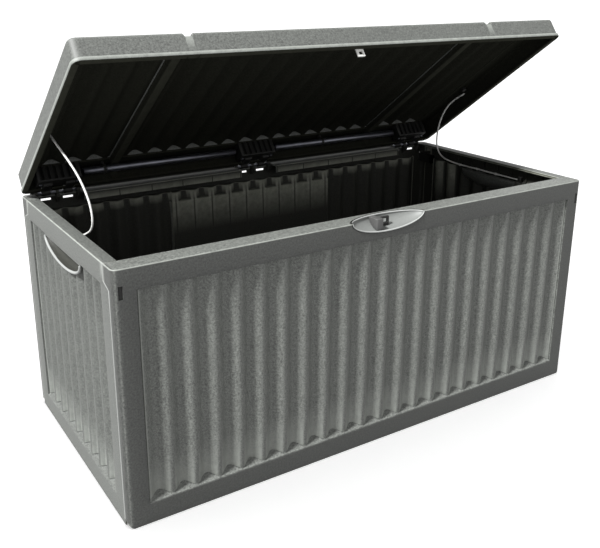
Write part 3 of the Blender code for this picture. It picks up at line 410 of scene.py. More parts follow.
def closed_shell(name, outer, inner, looks=("outside", "inside"), inside_from=10 ** 6):
    """A closed shape between two grids of points that match one to one.

    The inner skin, and the outer skin's rows from inside_from on, take the second look, the near-black
    painted shade.
    """
    rows, cols = len(outer), len(outer[0])
    points = [p for grid in (outer, inner) for row in grid for p in row]
    back = rows * cols
    faces, in_shade = [], []
    for i in range(rows - 1):
        for j in range(cols - 1):
            a = i * cols + j
            faces.append((a, a + 1, a + cols + 1, a + cols))
            in_shade.append(1 if j >= inside_from else 0)
            faces.append((back + a, back + a + cols, back + a + cols + 1, back + a + 1))
            in_shade.append(1)
    rim = list(range(cols))
    rim += [i * cols + cols - 1 for i in range(1, rows)]
    rim += [(rows - 1) * cols + j for j in range(cols - 2, -1, -1)]
    rim += [i * cols for i in range(rows - 2, 0, -1)]
    for a, b in zip(rim, rim[1:] + rim[:1]):
        faces.append((b, a, back + a, back + b))
        in_shade.append(1)
    mesh = bpy.data.meshes.new(name)
    mesh.from_pydata([tuple(p) for p in points], [], faces)
    mesh.polygons.foreach_set("material_index", in_shade)
    for look in looks:
        mesh.materials.append(LOOKS[look])
    obj = bpy.data.objects.new(name, mesh)
    bpy.context.scene.collection.objects.link(obj)
    bm = bmesh.new()
    bm.from_mesh(mesh)
    bmesh.ops.remove_doubles(bm, verts=bm.verts, dist=1e-6)
    bmesh.ops.recalc_face_normals(bm, faces=bm.faces)
    if bm.calc_volume(signed=True) < 0:
        bmesh.ops.reverse_faces(bm, faces=bm.faces)
    bm.to_mesh(mesh)
    bm.free()
    return obj


def paint_edge_highlights(obj, whole=False, low=math.radians(17), full=math.radians(22)):
    """Give each point on a rounded convex edge a share of painted highlight."""
    bm = bmesh.new()
    bm.from_mesh(obj.data)
    layer = bm.verts.layers.float.new("edge_highlight")
    for edge in bm.edges:
        middle = (edge.verts[0].co + edge.verts[1].co) / 2
        if len(edge.link_faces) == 2 and (middle.z > RIM_HEIGHT - 0.010 or middle.y > WALL * 0.9 or whole):
            share = (edge.calc_face_angle_signed(0.0) - low) / (full - low)
            for vert in edge.verts:
                vert[layer] = max(vert[layer], min(max(share, 0.0), 1.0))
    bm.to_mesh(obj.data)
    bm.free()


def smooth(obj, angle=SHARP):
    obj.data.shade_smooth()
    obj.data.set_sharp_from_angle(angle=angle)


def shape(name, bm, look=None):
    bmesh.ops.recalc_face_normals(bm, faces=bm.faces)
    if bm.calc_volume(signed=True) < 0:
        bmesh.ops.reverse_faces(bm, faces=bm.faces)
    mesh = bpy.data.meshes.new(name)
    bm.to_mesh(mesh)
    bm.free()
    if look:
        mesh.materials.append(LOOKS[look])
    obj = bpy.data.objects.new(name, mesh)
    bpy.context.scene.collection.objects.link(obj)
    return obj


def add_box(bm, low, high):
    corners = [bm.verts.new((x, y, z)) for z in (low[2], high[2])
               for x, y in ((low[0], low[1]), (high[0], low[1]), (high[0], high[1]), (low[0], high[1]))]
    for face in ((3, 2, 1, 0), (4, 5, 6, 7), (0, 1, 5, 4), (1, 2, 6, 5), (2, 3, 7, 6), (3, 0, 4, 7)):
        bm.faces.new([corners[k] for k in face])


def boxes(name, spans, look=None):
    bm = bmesh.new()
    for low, high in spans:
        add_box(bm, low, high)
    return shape(name, bm, look)


def ribs(name, spans, look, radius=0.0006):
    """A group of small moulded bars with rounded edges, as one piece."""
    obj = boxes(name, spans, look)
    step = obj.modifiers.new("round", "BEVEL")
    step.width = radius
    step.segments = 2
    smooth(obj)
    return obj


def ellipsoid(name, centre, radii, segments=96, rings=48):
    """An ellipsoid with its poles on the X axis, used to cut and to join."""
    bm = bmesh.new()
    bmesh.ops.create_uvsphere(bm, u_segments=segments, v_segments=rings, radius=1.0)
    for vert in bm.verts:
        x, y, z = vert.co
        vert.co = (centre[0] + z * radii[0], centre[1] + x * radii[1], centre[2] + y * radii[2])
    return shape(name, bm)


def combine(obj, tool, operation):
    """Join, cut or trim with another object, which is used up."""
    step = obj.modifiers.new(operation.lower(), "BOOLEAN")
    step.object = tool
    step.operation = operation
    step.solver = "EXACT"
    bpy.context.view_layer.update()
    graph = bpy.context.evaluated_depsgraph_get()
    mesh = bpy.data.meshes.new_from_object(obj.evaluated_get(graph))
    obj.modifiers.clear()
    obj.data = mesh
    bpy.data.objects.remove(tool, do_unlink=True)


def tube(name, points, radii, sides, look, closed=False):
    """A round tube along points, with a radius at each, and its length and turn as a UV map."""
    count = len(points)
    points = [Vector(p) for p in points]
    normal = None
    rings = []
    for k, point in enumerate(points):
        ahead = points[(k + 1) % count] if closed else points[min(k + 1, count - 1)]
        behind = points[k - 1] if closed else points[max(k - 1, 0)]
        along = (ahead - behind).normalized()
        if normal is None:
            normal = along.orthogonal().normalized()
        normal = (normal - along * normal.dot(along)).normalized()
        side = along.cross(normal)
        turns = [2 * math.pi * m / sides for m in range(sides)]
        rings.append([point + (normal * math.cos(t) + side * math.sin(t)) * radii[k] for t in turns])
    bm = bmesh.new()
    layer = bm.loops.layers.uv.new("along")
    verts = [[bm.verts.new(p) for p in ring] for ring in rings]
    travelled = [0.0]
    for a, b in zip(points, points[1:]):
        travelled.append(travelled[-1] + (b - a).length)
    spans = list(range(count - 1)) + ([count - 1] if closed else [])
    for k in spans:
        n = (k + 1) % count
        far = travelled[n] if n else travelled[-1] + (points[0] - points[-1]).length
        for m in range(sides):
            q = (m + 1) % sides
            face = bm.faces.new((verts[k][m], verts[k][q], verts[n][q], verts[n][m]))
            around = 2 * math.pi * CORD_RADIUS / sides
            corners = ((travelled[k], m), (travelled[k], m + 1), (far, m + 1), (far, m))
            for loop, (length, turn) in zip(face.loops, corners):
                loop[layer].uv = (length * 300, turn * around * 300)
    if not closed:
        bm.faces.new(list(reversed(verts[0])))
        bm.faces.new(verts[-1])
    obj = shape(name, bm, look)
    smooth(obj, math.radians(60))
    return obj


def arc(steps, start=0.0, stop=math.pi / 2):
    return [start + (stop - start) * k / steps for k in range(steps + 1)]


# ---- stay cords ----

def smooth_route(points, count):
    """Evenly counted points on a smooth curve through the route's own points."""
    pts = [Vector(p) for p in points]
    pts = [2 * pts[0] - pts[1]] + pts + [2 * pts[-1] - pts[-2]]
    spans = len(points) - 1
    result = []
    for k in range(count):
        at = spans * k / (count - 1)
        i = min(int(at), spans - 1)
        t = at - i
        a, b, c, d = pts[i:i + 4]
        result.append(0.5 * (2 * b + (c - a) * t + (2 * a - 5 * b + 4 * c - d) * t * t
                             + (3 * b - a - 3 * c + d) * t ** 3))
    return result


def knot(name, centre, along, radius):
    """An overhand knot: a trefoil tube pulled tight round the cord."""
    side = along.orthogonal().normalized()
    up = along.cross(side)
    points = []
    for k in range(48):
        t = 2 * math.pi * k / 48
        x = math.sin(t) + 2 * math.sin(2 * t)
        y = math.cos(t) - 2 * math.cos(2 * t)
        z = -math.sin(3 * t)
        points.append(centre + (side * x + up * y) * radius * 0.42 + along * z * radius * 0.9)
    return tube(name, points, [radius * 0.62] * len(points), 8, "cord", closed=True)


def make_cords():
    for side, route in (("left", LEFT_ROUTE), ("right", RIGHT_ROUTE)):
        points = smooth_route(route, CORD_STEPS)
        cord = tube("braided_cord_" + side, points, [CORD_RADIUS] * len(points), CORD_SIDES, "cord")
        for k, share in enumerate(KNOTS):
            i = int(share * (CORD_STEPS - 1))
            along = (points[i + 1] - points[i]).normalized()
            piece = knot("cord_knot_%s_%d" % (side, k + 1), points[i], along, CORD_RADIUS)
            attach(piece, "box")
        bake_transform(cord)
        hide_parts("stay_cord_" + side)


# ---- wall panels ----

def wave(x, start, pitch):
    """0 on a ridge and 1 in a hollow."""
    return (1 - math.cos(2 * math.pi * (x - start) / pitch)) / 2


# Steps of a moulded edge, as (distance from the corner, share of the drop).
STEP = ((-0.0016, 0.0), (-0.0006, 0.02), (0.0, 0.10), (0.0007, 0.35), (0.0014, 0.70), (0.0021, 0.93),
        (0.0032, 1.0))
LEDGE_STEP = ((-0.0014, 0.0), (-0.0004, 0.01), (0.0003, 0.06), (0.0007, 0.30), (0.0010, 0.62),
              (0.0012, 0.90), (0.0018, 1.05), (0.0030, 1.12), (0.0044, 1.08), (0.0056, 1.0))
# The same with the share of the groove beside it.
STILE_STEP = ((-0.0010, 0.0, 0.0), (-0.0003, 0.06, 0.0), (0.0003, 0.75, 0.7), (0.0009, 1.0, 1.0),
              (0.0020, 1.0, 1.0), (0.0028, 1.0, 0.25), (0.0036, 1.0, 0.0))


def field_columns(half, waves, flat):
    """Columns over a wall's face: (x, x of the back, share of the field, depth, depth low down)."""
    edge = half - STILE
    pitch = 2 * edge / waves

    def depths(x, groove=0.0):
        deep = RIDGE_DEPTH + WAVE_DEPTH * wave(x, -edge, pitch) + GROOVE * groove
        low = RIDGE_DEPTH + WAVE_DEPTH if flat and abs(x) < FLAT_HALF else deep
        return deep, low

    columns = []
    for from_corner, share, groove in STILE_STEP:
        x = -edge + from_corner
        columns.append((x, x - WALL, share) + depths(x, groove))
    count = waves * WAVE_STEPS
    for k in range(2, count - 1):
        x = -edge + pitch * k / WAVE_STEPS
        if flat and any(abs(x - turn * FLAT_HALF) < 4 * BLOCK_END for turn in (-1, 1)):
            continue
        columns.append((x, x, 1.0) + depths(x))
    if flat:
        for turn in (-1, 1):
            for shift in (-BLOCK_END, BLOCK_END):
                x = turn * (FLAT_HALF + shift)
                columns.append((x, x - turn * WALL * 0.5, 1.0) + depths(x))
    for from_corner, share, groove in reversed(STILE_STEP):
        x = edge - from_corner
        columns.append((x, x + WALL, share) + depths(x, groove))
    return sorted(columns)


def face_rows(flat):
    """Rows up a wall's face: (z, z of the back, share of the field, whether low down)."""
    top = RIM_HEIGHT - TOP_RAIL
    rows = [(0.012, 0.012, 0.0, True), (0.028, 0.028, 0.0, True)]
    rows += [(BOTTOM_RAIL + dz, BOTTOM_RAIL + dz - WALL, share, True) for dz, share in LEDGE_STEP]
    split = RIM_HEIGHT - FLAT_TOP_DROP
    for k in range(1, 5):
        z = BOTTOM_RAIL + (split - BOTTOM_RAIL) * k / 5
        rows.append((z, z, 1.0, True))
    if flat:
        for dz, is_low in ((-2 * BLOCK_END, True), (2 * BLOCK_END, False)):
            rows.append((split + dz, split + dz + WALL, 1.0, is_low))
    rows += [(top - dz, top - dz + WALL, share, False) for dz, share in reversed(STEP)]
    rows.append((RIM_HEIGHT - SLANT_TOP, RIM_HEIGHT - SLANT_TOP, 0.0, False))
    return rows


def rim_points(spot, inwards, target, lip, skin):
    """Points of one column from a rim's outer edge over its top to its inner lip, as (x, y, z)."""
    base = WALL if skin else 0.0
    first = ROUND_TIGHT if skin else ROUND_OUT
    second = ROUND_TIGHT if skin else ROUND_IN
    top = RIM_HEIGHT - base
    run = (target - spot - inwards * (base + first)).normalized()
    end = target - run * base
    points = []
    for turn in arc(ARC_STEPS):
        where = spot + inwards * (base + first - first * math.cos(turn))
        points.append((where.x, where.y, top - first + first * math.sin(turn)))
    for turn in arc(ARC_STEPS):
        where = end - run * (second - second * math.sin(turn))
        points.append((where.x, where.y, top - second + second * math.cos(turn)))
    points.append((end.x, end.y, RIM_HEIGHT - lip))
    return points


def reach(z):
    """How far the long walls' return runs round the corner at a height."""
    waist, shoulder = RIM_HEIGHT - TOP_RAIL, RIM_HEIGHT - SLANT_TOP
    share = min(max((z - waist) / (shoulder - waist), 0.0), 1.0)
    return RETURN_LOW + (LONG_RIM - RETURN_LOW) * share


def foot_points(skin, lift):
    """Insets and heights of a wall's rounded bottom edge."""
    if skin:
        return [(0.0, lift), (0.0, lift + 0.0006), (0.0, lift + 0.0016)]
    return [(ROUND_FOOT, lift), (ROUND_FOOT / 4, lift + 0.0004), (0.0, lift + 0.0014)]


def long_wall(name, flat=False):
    """A front or rear wall: its face, its rounded corners, its returns and its rim in one skin."""
    columns = []
    for x, back_x, share, deep, low in field_columns(HALF_W, LONG_WAVES, flat):
        columns.append(("face", x, back_x, share, deep, low))
    turns = [("corner", turn, 0, 0, 0, 0) for turn in arc(6)]
    runs = [("return", step / 4, 0, 0, 0, 0) for step in range(1, 5)]
    ends = turns + runs
    outer, inner = [], []

    def add(side, kind, a, back_x, share, deep, low):
        middle = HALF_W - CORNER
        skins = []
        for skin in (False, True):
            thick = WALL if skin else 0.0
            if kind == "corner":
                lift = CORNER - CORNER * math.cos(a)
                inwards = Vector((-side * math.sin(a), math.cos(a), 0.0))
                target = Vector((side * (middle - 0.013 + 0.010 * a / (math.pi / 2)), LONG_RIM, 0.0))
            elif kind == "return":
                lift = CORNER
                inwards = Vector((-side, 0.0, 0.0))
                target = Vector((side * (middle - 0.003 + 0.006 * a), LONG_RIM, 0.0))
            else:
                lift = 0.0
                inwards = Vector((0.0, 1.0, 0.0))
                target = Vector((min(max(a, -middle + 0.013), middle - 0.013), LONG_RIM, 0.0))

            def spot(z):
                if kind == "corner":
                    x = side * (middle + CORNER * math.sin(a))
                    return Vector((x, CORNER - CORNER * math.cos(a), 0.0))
                if kind == "return":
                    return Vector((side * HALF_W, CORNER + (reach(z) - CORNER) * a, 0.0))
                return Vector((back_x if skin else a, 0.0, 0.0))

            points = []
            for inset, z in foot_points(skin, lift):
                where = spot(z) + inwards * (thick + inset)
                points.append((where.x, where.y, z))
            for z_out, z_in, up_share, is_low in face_rows(flat):
                z = z_in if skin else z_out
                sunk = share * up_share * (low if is_low else deep)
                if z_out < RIM_HEIGHT / 4:
                    z += LEDGE_SLOPE * sunk
                depth = thick + sunk
                where = spot(z) + inwards * depth
                points.append((where.x, where.y, max(z, lift + 0.002)))
            points += rim_points(spot(RIM_HEIGHT), inwards, target, LONG_LIP, skin)
            skins.append(points)
        outer.append(skins[0])
        inner.append(skins[1])

    for column in reversed(ends):
        add(-1, *column)
    for column in columns:
        add(0, *column)
    for column in ends:
        add(1, *column)
    rows = len(outer[0])
    # The rim's inner lip rows take the near-black inside look: painted shade.
    wall = closed_shell(name, outer, inner, ("outside_long", "inside"), inside_from=rows - 4)
    paint_edge_highlights(wall)
    return wall


def clip_slots():
    """Boxes for the clip slots near the ends of a long wall."""
    z = RIM_HEIGHT - CLIP_DROP
    half_x, half_z = CLIP_SLOT[0] / 2, CLIP_SLOT[1] / 2
    for side in (-1, 1):
        x = side * (HALF_W - CLIP_IN)
        yield (x - half_x, -WALL, z - half_z), (x + half_x, 2 * WALL, z + half_z)


def short_wall(name):
    """A side wall between the long walls' returns."""
    half = HALF_D - RETURN_LOW - SEAM
    plain = (0.0, 0.0, 0.0)
    near = half - ROUND_END
    columns = [(-half, -half) + plain, (-near, -near) + plain]
    columns += field_columns(half, SHORT_WAVES, False)
    columns += [(near, near) + plain, (half, half) + plain]
    outer, inner = [], []
    for x, back_x, share, deep, _ in columns:
        at_end = abs(x) > half - 0.005
        skins = []
        for skin in (False, True):
            thick = WALL if skin else 0.0
            edge_round = ROUND_END if abs(x) > half - 1e-6 and not skin else 0.0
            points = []
            for inset, z in foot_points(skin, 0.0):
                points.append((back_x if skin else x, thick + inset + edge_round, z))
            for z_out, z_in, up_share, _ in face_rows(False):
                z = z_in if skin else z_out
                sunk = share * up_share * deep
                if z_out < RIM_HEIGHT / 4:
                    z += LEDGE_SLOPE * sunk
                cut = math.copysign(reach(z) - RETURN_LOW, x) if at_end else 0.0
                points.append(((back_x if skin else x) - cut, thick + sunk + edge_round, z))
            cut = math.copysign(LONG_RIM - RETURN_LOW, x) if at_end else 0.0
            spot = Vector(((back_x if skin else x) - cut, edge_round, 0.0))
            target = Vector((spot.x, SHORT_RIM, 0.0))
            points += rim_points(spot, Vector((0.0, 1.0, 0.0)), target, SHORT_LIP, skin)
            skins.append(points)
        outer.append(skins[0])
        inner.append(skins[1])
    # The rim's inner lip rows take the near-black inside look: painted shade.
    wall = closed_shell(name, outer, inner, inside_from=len(outer[0]) - 4)
    paint_edge_highlights(wall)
    centre = (0.0, 0.0, RIM_HEIGHT - GRIP_DROP)
    moulding = ellipsoid("moulding", centre, (GRIP[0] + GRIP_LIP, GRIP[1] + WALL, GRIP[2] + GRIP_LIP))
    keep = boxes("keep", [((-HALF_D, 0.0002, 0.0), (HALF_D, GRIP[1] * 2, centre[2] + WALL))])
    combine(moulding, keep, "INTERSECT")
    combine(wall, moulding, "UNION")
    hollow = ellipsoid("hollow", centre, GRIP)
    keep = boxes("keep", [((-HALF_D, -GRIP[1] * 2, 0.0), (HALF_D, GRIP[1] * 2, centre[2]))])
    combine(hollow, keep, "INTERSECT")
    # The grip's hollow takes the near-black inside look: painted shade.
    for look in ("outside", "inside"):
        hollow.data.materials.append(LOOKS[look])
    for face in hollow.data.polygons:
        face.material_index = 1
    combine(wall, hollow, "DIFFERENCE")
    # No painted edge highlight round the grip, where its pale lip is.
    edge_highlight = wall.data.attributes["edge_highlight"].data
    low_z, high_z = centre[2] - GRIP[2] - 0.010, centre[2] + 0.010
    for vert in wall.data.vertices:
        if abs(vert.co.x) < GRIP[0] + 0.02 and low_z < vert.co.z < high_z:
            edge_highlight[vert.index].value = 0.0
    return wall


def place(obj, side):
    """Stand a panel drawn in its own frame on one side of the box."""
    where = {"front": ((0.0, -HALF_D, 0.0), 0.0), "rear": ((0.0, HALF_D, 0.0), math.pi),
             "left": ((-HALF_W, 0.0, 0.0), -math.pi / 2), "right": ((HALF_W, 0.0, 0.0), math.pi / 2)}[side]
    obj.location = where[0]
    obj.rotation_euler.z = where[1]


def finish_piece(obj, side):
    place(obj, side)
    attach(obj, "box")


def make_front():
    wall = long_wall("front_wall")
    combine(wall, ellipsoid("hollow", (0.0, 0.0, RIM_HEIGHT), DISH), "DIFFERENCE")
    combine(wall, boxes("slots", clip_slots()), "DIFFERENCE")
    smooth(wall)
    finish_piece(wall, "front")
    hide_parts("front_panel")
    outer, inner = [], []
    for along in arc(DISH_STEPS, math.pi * DISH_TIP, math.pi * (1 - DISH_TIP)):
        for grid, grow in ((outer, 0.0), (inner, DISH_WALL)):
            back, drop = (DISH[1] + grow) * math.sin(along), (DISH[2] + grow) * math.sin(along)
            grid.append([((DISH[0] + grow) * math.cos(along), back * math.sin(turn),
                          RIM_HEIGHT - drop * math.cos(turn)) for turn in arc(20)])
    # The dish lining is painted lighter than the wall as painted light; its back is painted shade.
    dish = closed_shell("latch_dish", outer, inner, ("dish", "inside"))
    smooth(dish)
    finish_piece(dish, "front")
    spans = arc(72, 0.0, math.pi)
    sizes = [0.0006 + 0.0012 * math.sin(t) ** 0.5 if 0 < t < math.pi else 0.0006 for t in spans]
    lower = [(DISH[0] * math.cos(t), 0.0, RIM_HEIGHT - DISH[2] * math.sin(t)) for t in spans]
    upper = [(DISH[0] * math.cos(t), DISH[1] * math.sin(t), RIM_HEIGHT - BEAD_SUNK) for t in spans]
    # The dish's beads are pale: painted highlights.
    for name, points in (("dish_bead_lower", lower), ("dish_bead_upper", upper)):
        finish_piece(tube(name, points, sizes, 10, "bead"), "front")


def make_rear():
    wall = long_wall("rear_wall", flat=True)
    cuts, rooms, windows = [], [], []
    for x in STATIONS:
        cuts.append(((x - STATION_HALF, STATION_SKIN, RIM_HEIGHT - STATION_DROP),
                     (x + STATION_HALF, LONG_RIM + WALL, RIM_HEIGHT + WALL)))
        for side in (-1, 1):
            centre = x + side * STATION_HALF / 2
            rooms.append(((centre - ARM_HALF, -WALL, RIM_HEIGHT - ARM_CLEAR),
                          (centre + ARM_HALF, 2 * WALL, RIM_HEIGHT + WALL)))
            top = RIM_HEIGHT - WINDOW[2]
            windows.append(((centre - WINDOW[0], -WALL, top - WINDOW[1]),
                            (centre + WINDOW[0], 2 * WALL, top)))
    combine(wall, boxes("cuts", cuts), "DIFFERENCE")
    cuts = [((x - STATION_HALF, LONG_RIM - 2 * WALL, RIM_HEIGHT - LONG_LIP - WALL),
             (x + STATION_HALF, LONG_RIM + WALL, RIM_HEIGHT + WALL)) for x in STATIONS]
    combine(wall, boxes("cuts", cuts), "DIFFERENCE")
    combine(wall, boxes("rooms", rooms), "DIFFERENCE")
    combine(wall, boxes("windows", windows), "DIFFERENCE")
    combine(wall, boxes("slots", clip_slots()), "DIFFERENCE")
    smooth(wall)
    finish_piece(wall, "rear")
    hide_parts("rear_panel")
    for name, x in zip(("right", "middle", "left"), STATIONS):
        webs = hinge_webs("hinge_webs_" + name, x)
        finish_piece(webs, "rear")
    rails = []
    station_ends = [x + turn * STATION_HALF for x in STATIONS for turn in (-1, 1)]
    stops = [-HALF_W + 0.02] + station_ends + [HALF_W - 0.02]
    for low, high in zip(stops[0::2], stops[1::2]):
        for drop in RAIL_DROPS:
            rails.append(((low, LONG_RIM - RAIL_SUNK, RIM_HEIGHT - drop - 0.0014),
                          (high, LONG_RIM + RAIL_PROUD, RIM_HEIGHT - drop)))
        count = max(int((high - low) / RAIL_PITCH), 1)
        for x in arc(count, low + 0.004, high - 0.004):
            rails.append(((x - 0.0012, LONG_RIM - RAIL_SUNK, RIM_HEIGHT - RAIL_DROPS[1] - 0.0005),
                          (x + 0.0012, LONG_RIM + RAIL_PROUD - 0.0002, RIM_HEIGHT - RAIL_DROPS[0] + 0.0005)))
    finish_piece(ribs("rear_rim_ribs", rails, "inside"), "rear")
    stands = []
    for low, high in zip(stops[0::2], stops[1::2]):
        stands.append(((low, 0.0, RIM_HEIGHT - WALL / 2), (high, WALL, RIM_HEIGHT + REAR_STAND)))
    for x in STATIONS:
        for low, high in ((-STATION_HALF, -STATION_HALF / 2 - ARM_HALF),
                          (ARM_HALF - STATION_HALF / 2, STATION_HALF / 2 - ARM_HALF),
                          (STATION_HALF / 2 + ARM_HALF, STATION_HALF)):
            stands.append(((x + low, 0.0, RIM_HEIGHT - WALL / 2),
                           (x + high, STATION_SKIN, RIM_HEIGHT + REAR_STAND)))
    finish_piece(ribs("rear_upstand", stands, "inside", 0.0003), "rear")


def hinge_webs(name, x):
    """Upright webs with eyes that carry one hinge pin."""
    bm = bmesh.new()
    knuckle = KNUCKLE - WEB_SLACK
    outer = STATION_HALF - WEB / 2 + 0.001
    for offset in (-outer, 0.0, outer):
        eye = [(HINGE_IN + knuckle * math.cos(t), RIM_HEIGHT + knuckle * math.sin(t))
               for t in arc(12, 0.0, math.pi)]
        outline = [(HINGE_IN + knuckle, RIM_HEIGHT - WALL)] + eye
        outline += [(WALL / 2, RIM_HEIGHT - STATION_DROP), (WALL / 2, RIM_HEIGHT - WEB_HEIGHT),
                    (WEB_DEPTH / 2, RIM_HEIGHT - WEB_HEIGHT), (WEB_DEPTH, RIM_HEIGHT - STATION_DROP),
                    (WEB_DEPTH, RIM_HEIGHT - WALL)]
        rings = [[bm.verts.new((x + offset + turn * WEB / 2, y, z)) for y, z in outline] for turn in (-1, 1)]
        bm.faces.new(rings[0])
        bm.faces.new(list(reversed(rings[1])))
        for k in range(len(outline)):
            m = (k + 1) % len(outline)
            bm.faces.new((rings[0][m], rings[0][k], rings[1][k], rings[1][m]))
    webs = shape(name, bm, "inside")
    bore = bmesh.new()
    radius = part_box("hinge_pin_middle")[1].z - HINGE.z + PIN_FIT
    circle = [(HINGE_IN + radius * math.cos(t), RIM_HEIGHT + radius * math.sin(t))
              for t in arc(BORE_SIDES, 0.0, 2 * math.pi)[:-1]]
    rings = [[bore.verts.new((x + turn * (STATION_HALF + 0.002), y, z)) for y, z in circle]
             for turn in (-1, 1)]
    bore.faces.new(rings[0])
    bore.faces.new(list(reversed(rings[1])))
    for k in range(BORE_SIDES):
        m = (k + 1) % BORE_SIDES
        bore.faces.new((rings[0][m], rings[0][k], rings[1][k], rings[1][m]))
    combine(webs, shape("bore", bore), "DIFFERENCE")
    smooth(webs)
    return webs


def clip_boxes(side):
    """Spans of one corner's clip, which reaches behind the long wall and fills its slot."""
    low_z = RIM_HEIGHT - CLIP_DROP - CLIP_SIZE[1] / 2
    high_z = low_z + CLIP_SIZE[1]
    reach_x = HALF_D - WALL - SEAM
    root = HALF_D - LONG_RIM - SEAM - CLIP_REACH
    arm_in = CLIP_IN + CLIP_SIZE[0] / 2
    for start, stop, y_low, y_high in ((root, reach_x, WALL + SEAM, arm_in),
                                       (root, root + CLIP_ROOT, WALL / 2, arm_in),
                                       (reach_x - 0.001, HALF_D - CLIP_SUNK, arm_in - CLIP_SIZE[0], arm_in)):
        ends = sorted((side * start, side * stop))
        yield (ends[0], y_low, low_z), (ends[1], y_high, high_z)


def make_side(side):
    wall = short_wall(side + "_wall")
    smooth(wall)
    finish_piece(wall, side)
    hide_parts(side + "_panel")
    spans = arc(60, 0.0, math.pi)
    height = RIM_HEIGHT - GRIP_DROP
    half_x, drop = GRIP[0] + GRIP_LIP / 2, GRIP[2] + GRIP_LIP / 2
    points = [(half_x * math.cos(t), 0.0004, height - drop * math.sin(t)) for t in spans]
    sizes = [GRIP_LIP / 2] * len(points)
    # The grip's lip is pale: a painted highlight.
    finish_piece(tube("grip_lip_" + side, points, sizes, 12, "bead_side"), side)
    half = HALF_D - RETURN_LOW - SEAM
    ledge = RIM_HEIGHT - TOP_RAIL + WALL
    pitch = 2 * (half - STILE) / SHORT_WAVES
    spans = []
    for k in range(1, SHORT_WAVES):
        x = -(half - STILE) + pitch * k
        spans.append(((x - 0.00125, WALL / 2, ledge - WALL / 2), (x + 0.00125, 0.009, RIM_HEIGHT - WALL / 2)))
    finish_piece(ribs("rim_ribs_" + side, spans, "inside"), side)
    spans = [span for turn in (-1, 1) for span in clip_boxes(turn)]
    finish_piece(ribs("clips_" + side, spans, "black"), side)
    for turn, where in ((-1, "a"), (1, "b")):
        low_x, high_x = turn * half, turn * (HALF_D - LONG_RIM - SEAM)
        bead = [(low_x, SEAM_BEAD_IN, 0.014), (low_x, SEAM_BEAD_IN, RIM_HEIGHT - TOP_RAIL),
                (high_x, SEAM_BEAD_IN, RIM_HEIGHT - SLANT_TOP), (high_x, SEAM_BEAD_IN, RIM_HEIGHT - 0.0012)]
        fine = [tuple(a[i] + (b[i] - a[i]) * k / 12 for i in range(3))
                for a, b in zip(bead, bead[1:]) for k in range(12)]
        fine.append(bead[-1])
        fine = [(x - turn * SEAM_BEAD, y, z) for x, y, z in fine]
        # The seam beads are pale: painted highlights.
        name = "seam_bead_%s_%s" % (side, where)
        finish_piece(tube(name, fine, [SEAM_BEAD] * len(fine), 10, "bead_side"), side)


# ---- lid ----

def lid_edge(edge, turn):
    """Points in from one edge of the lid: (outer place, inner place, outer height, inner height)."""
    wall = edge + turn * LID_FLANGE
    foot = edge + turn * LID_FOOT
    inner_wall = wall + turn * WALL
    places = [(edge + turn * 0.0010, foot, 0.0, 0.0),
              (edge + turn * 0.0003, foot, 0.0004, 0.0006),
              (edge, foot, 0.0012, 0.0016),
              (edge, foot, LID_FLANGE_HEIGHT - 0.0012, WALL),
              (edge + turn * 0.0004, foot, LID_FLANGE_HEIGHT - 0.0003, WALL),
              (edge + turn * 0.0012, inner_wall, LID_FLANGE_HEIGHT, WALL + 0.0004),
              (wall, inner_wall, LID_FLANGE_HEIGHT + 0.0001, WALL + 0.0010),
              (wall, inner_wall, LID_FLANGE_HEIGHT + 0.0012, WALL + 0.0030),
              (wall, inner_wall, LID_HEIGHT - CHANNEL_DEPTH, LID_HEIGHT - CHANNEL_DEPTH - WALL)]
    for angle in arc(5):
        places.append((wall + turn * LID_EDGE * (1 - math.cos(angle)),
                       wall + turn * (WALL + (LID_EDGE - WALL + 0.001) * (1 - math.cos(angle))),
                       LID_HEIGHT - LID_EDGE + LID_EDGE * math.sin(angle),
                       LID_HEIGHT - LID_EDGE + (LID_EDGE - WALL) * math.sin(angle)))
    for k in (1, 2, 3):
        place_in = wall + turn * (LID_EDGE + (LID_CORNER - LID_EDGE) * k / 3)
        places.append((place_in, place_in, LID_HEIGHT, LID_HEIGHT - WALL))
    return places


def lid_columns():
    """Columns over the raised field: (x, x of the underside, rise over the margin, kind)."""
    edge = LID_HALF_X - LID_BORDER
    pitch = 2 * edge / LONG_WAVES
    channels = [-edge + CHANNEL_WAVE * pitch, edge - CHANNEL_WAVE * pitch]

    def rise(x):
        return LID_RIDGE + LID_WAVE * wave(x, -edge, pitch)

    def step(corner, turn):
        """A moulded step at a corner; turn is the way the field lies."""
        result = []
        for shift, share in STEP:
            x = corner + turn * shift
            result.append((x, x - turn * WALL * 0.6, share))
        return result

    columns = []
    for x, under, share in step(-edge, 1) + step(edge, -1):
        columns.append((x, under, rise(x) * share, "field"))
    for middle in channels:
        for turn in (-1, 1):
            corner = middle + turn * CHANNEL_HALF
            for x, under, share in step(corner, turn):
                columns.append((x, under, rise(x) * share, "field"))
            for shift, share in STEP:
                x = corner - turn * (shift + 0.0034)
                columns.append((x, x + turn * WALL * 0.3, -CHANNEL_DEPTH * share, "channel"))
    count = LONG_WAVES * WAVE_STEPS
    for k in range(2, count - 1):
        x = -edge + pitch * k / WAVE_STEPS
        if all(abs(x - middle) > CHANNEL_HALF + 0.0042 for middle in channels):
            columns.append((x, x, rise(x), "field"))
    return sorted(columns)


def round_corner(x, y, z, radius):
    """Bend the square plan of a lid's corner into an arc."""
    middle = (LID_FRONT + LID_REAR) / 2
    half_y = (LID_REAR - LID_FRONT) / 2
    over_x = abs(x) - (LID_HALF_X - radius)
    over_y = abs(y - middle) - (half_y - radius)
    if over_x <= 1e-9 or over_y <= 1e-9:
        return (x, y, z)
    share = max(over_x, over_y) / math.hypot(over_x, over_y)
    return (math.copysign(LID_HALF_X - radius + over_x * share, x),
            middle + math.copysign(half_y - radius + over_y * share, y - middle), z)


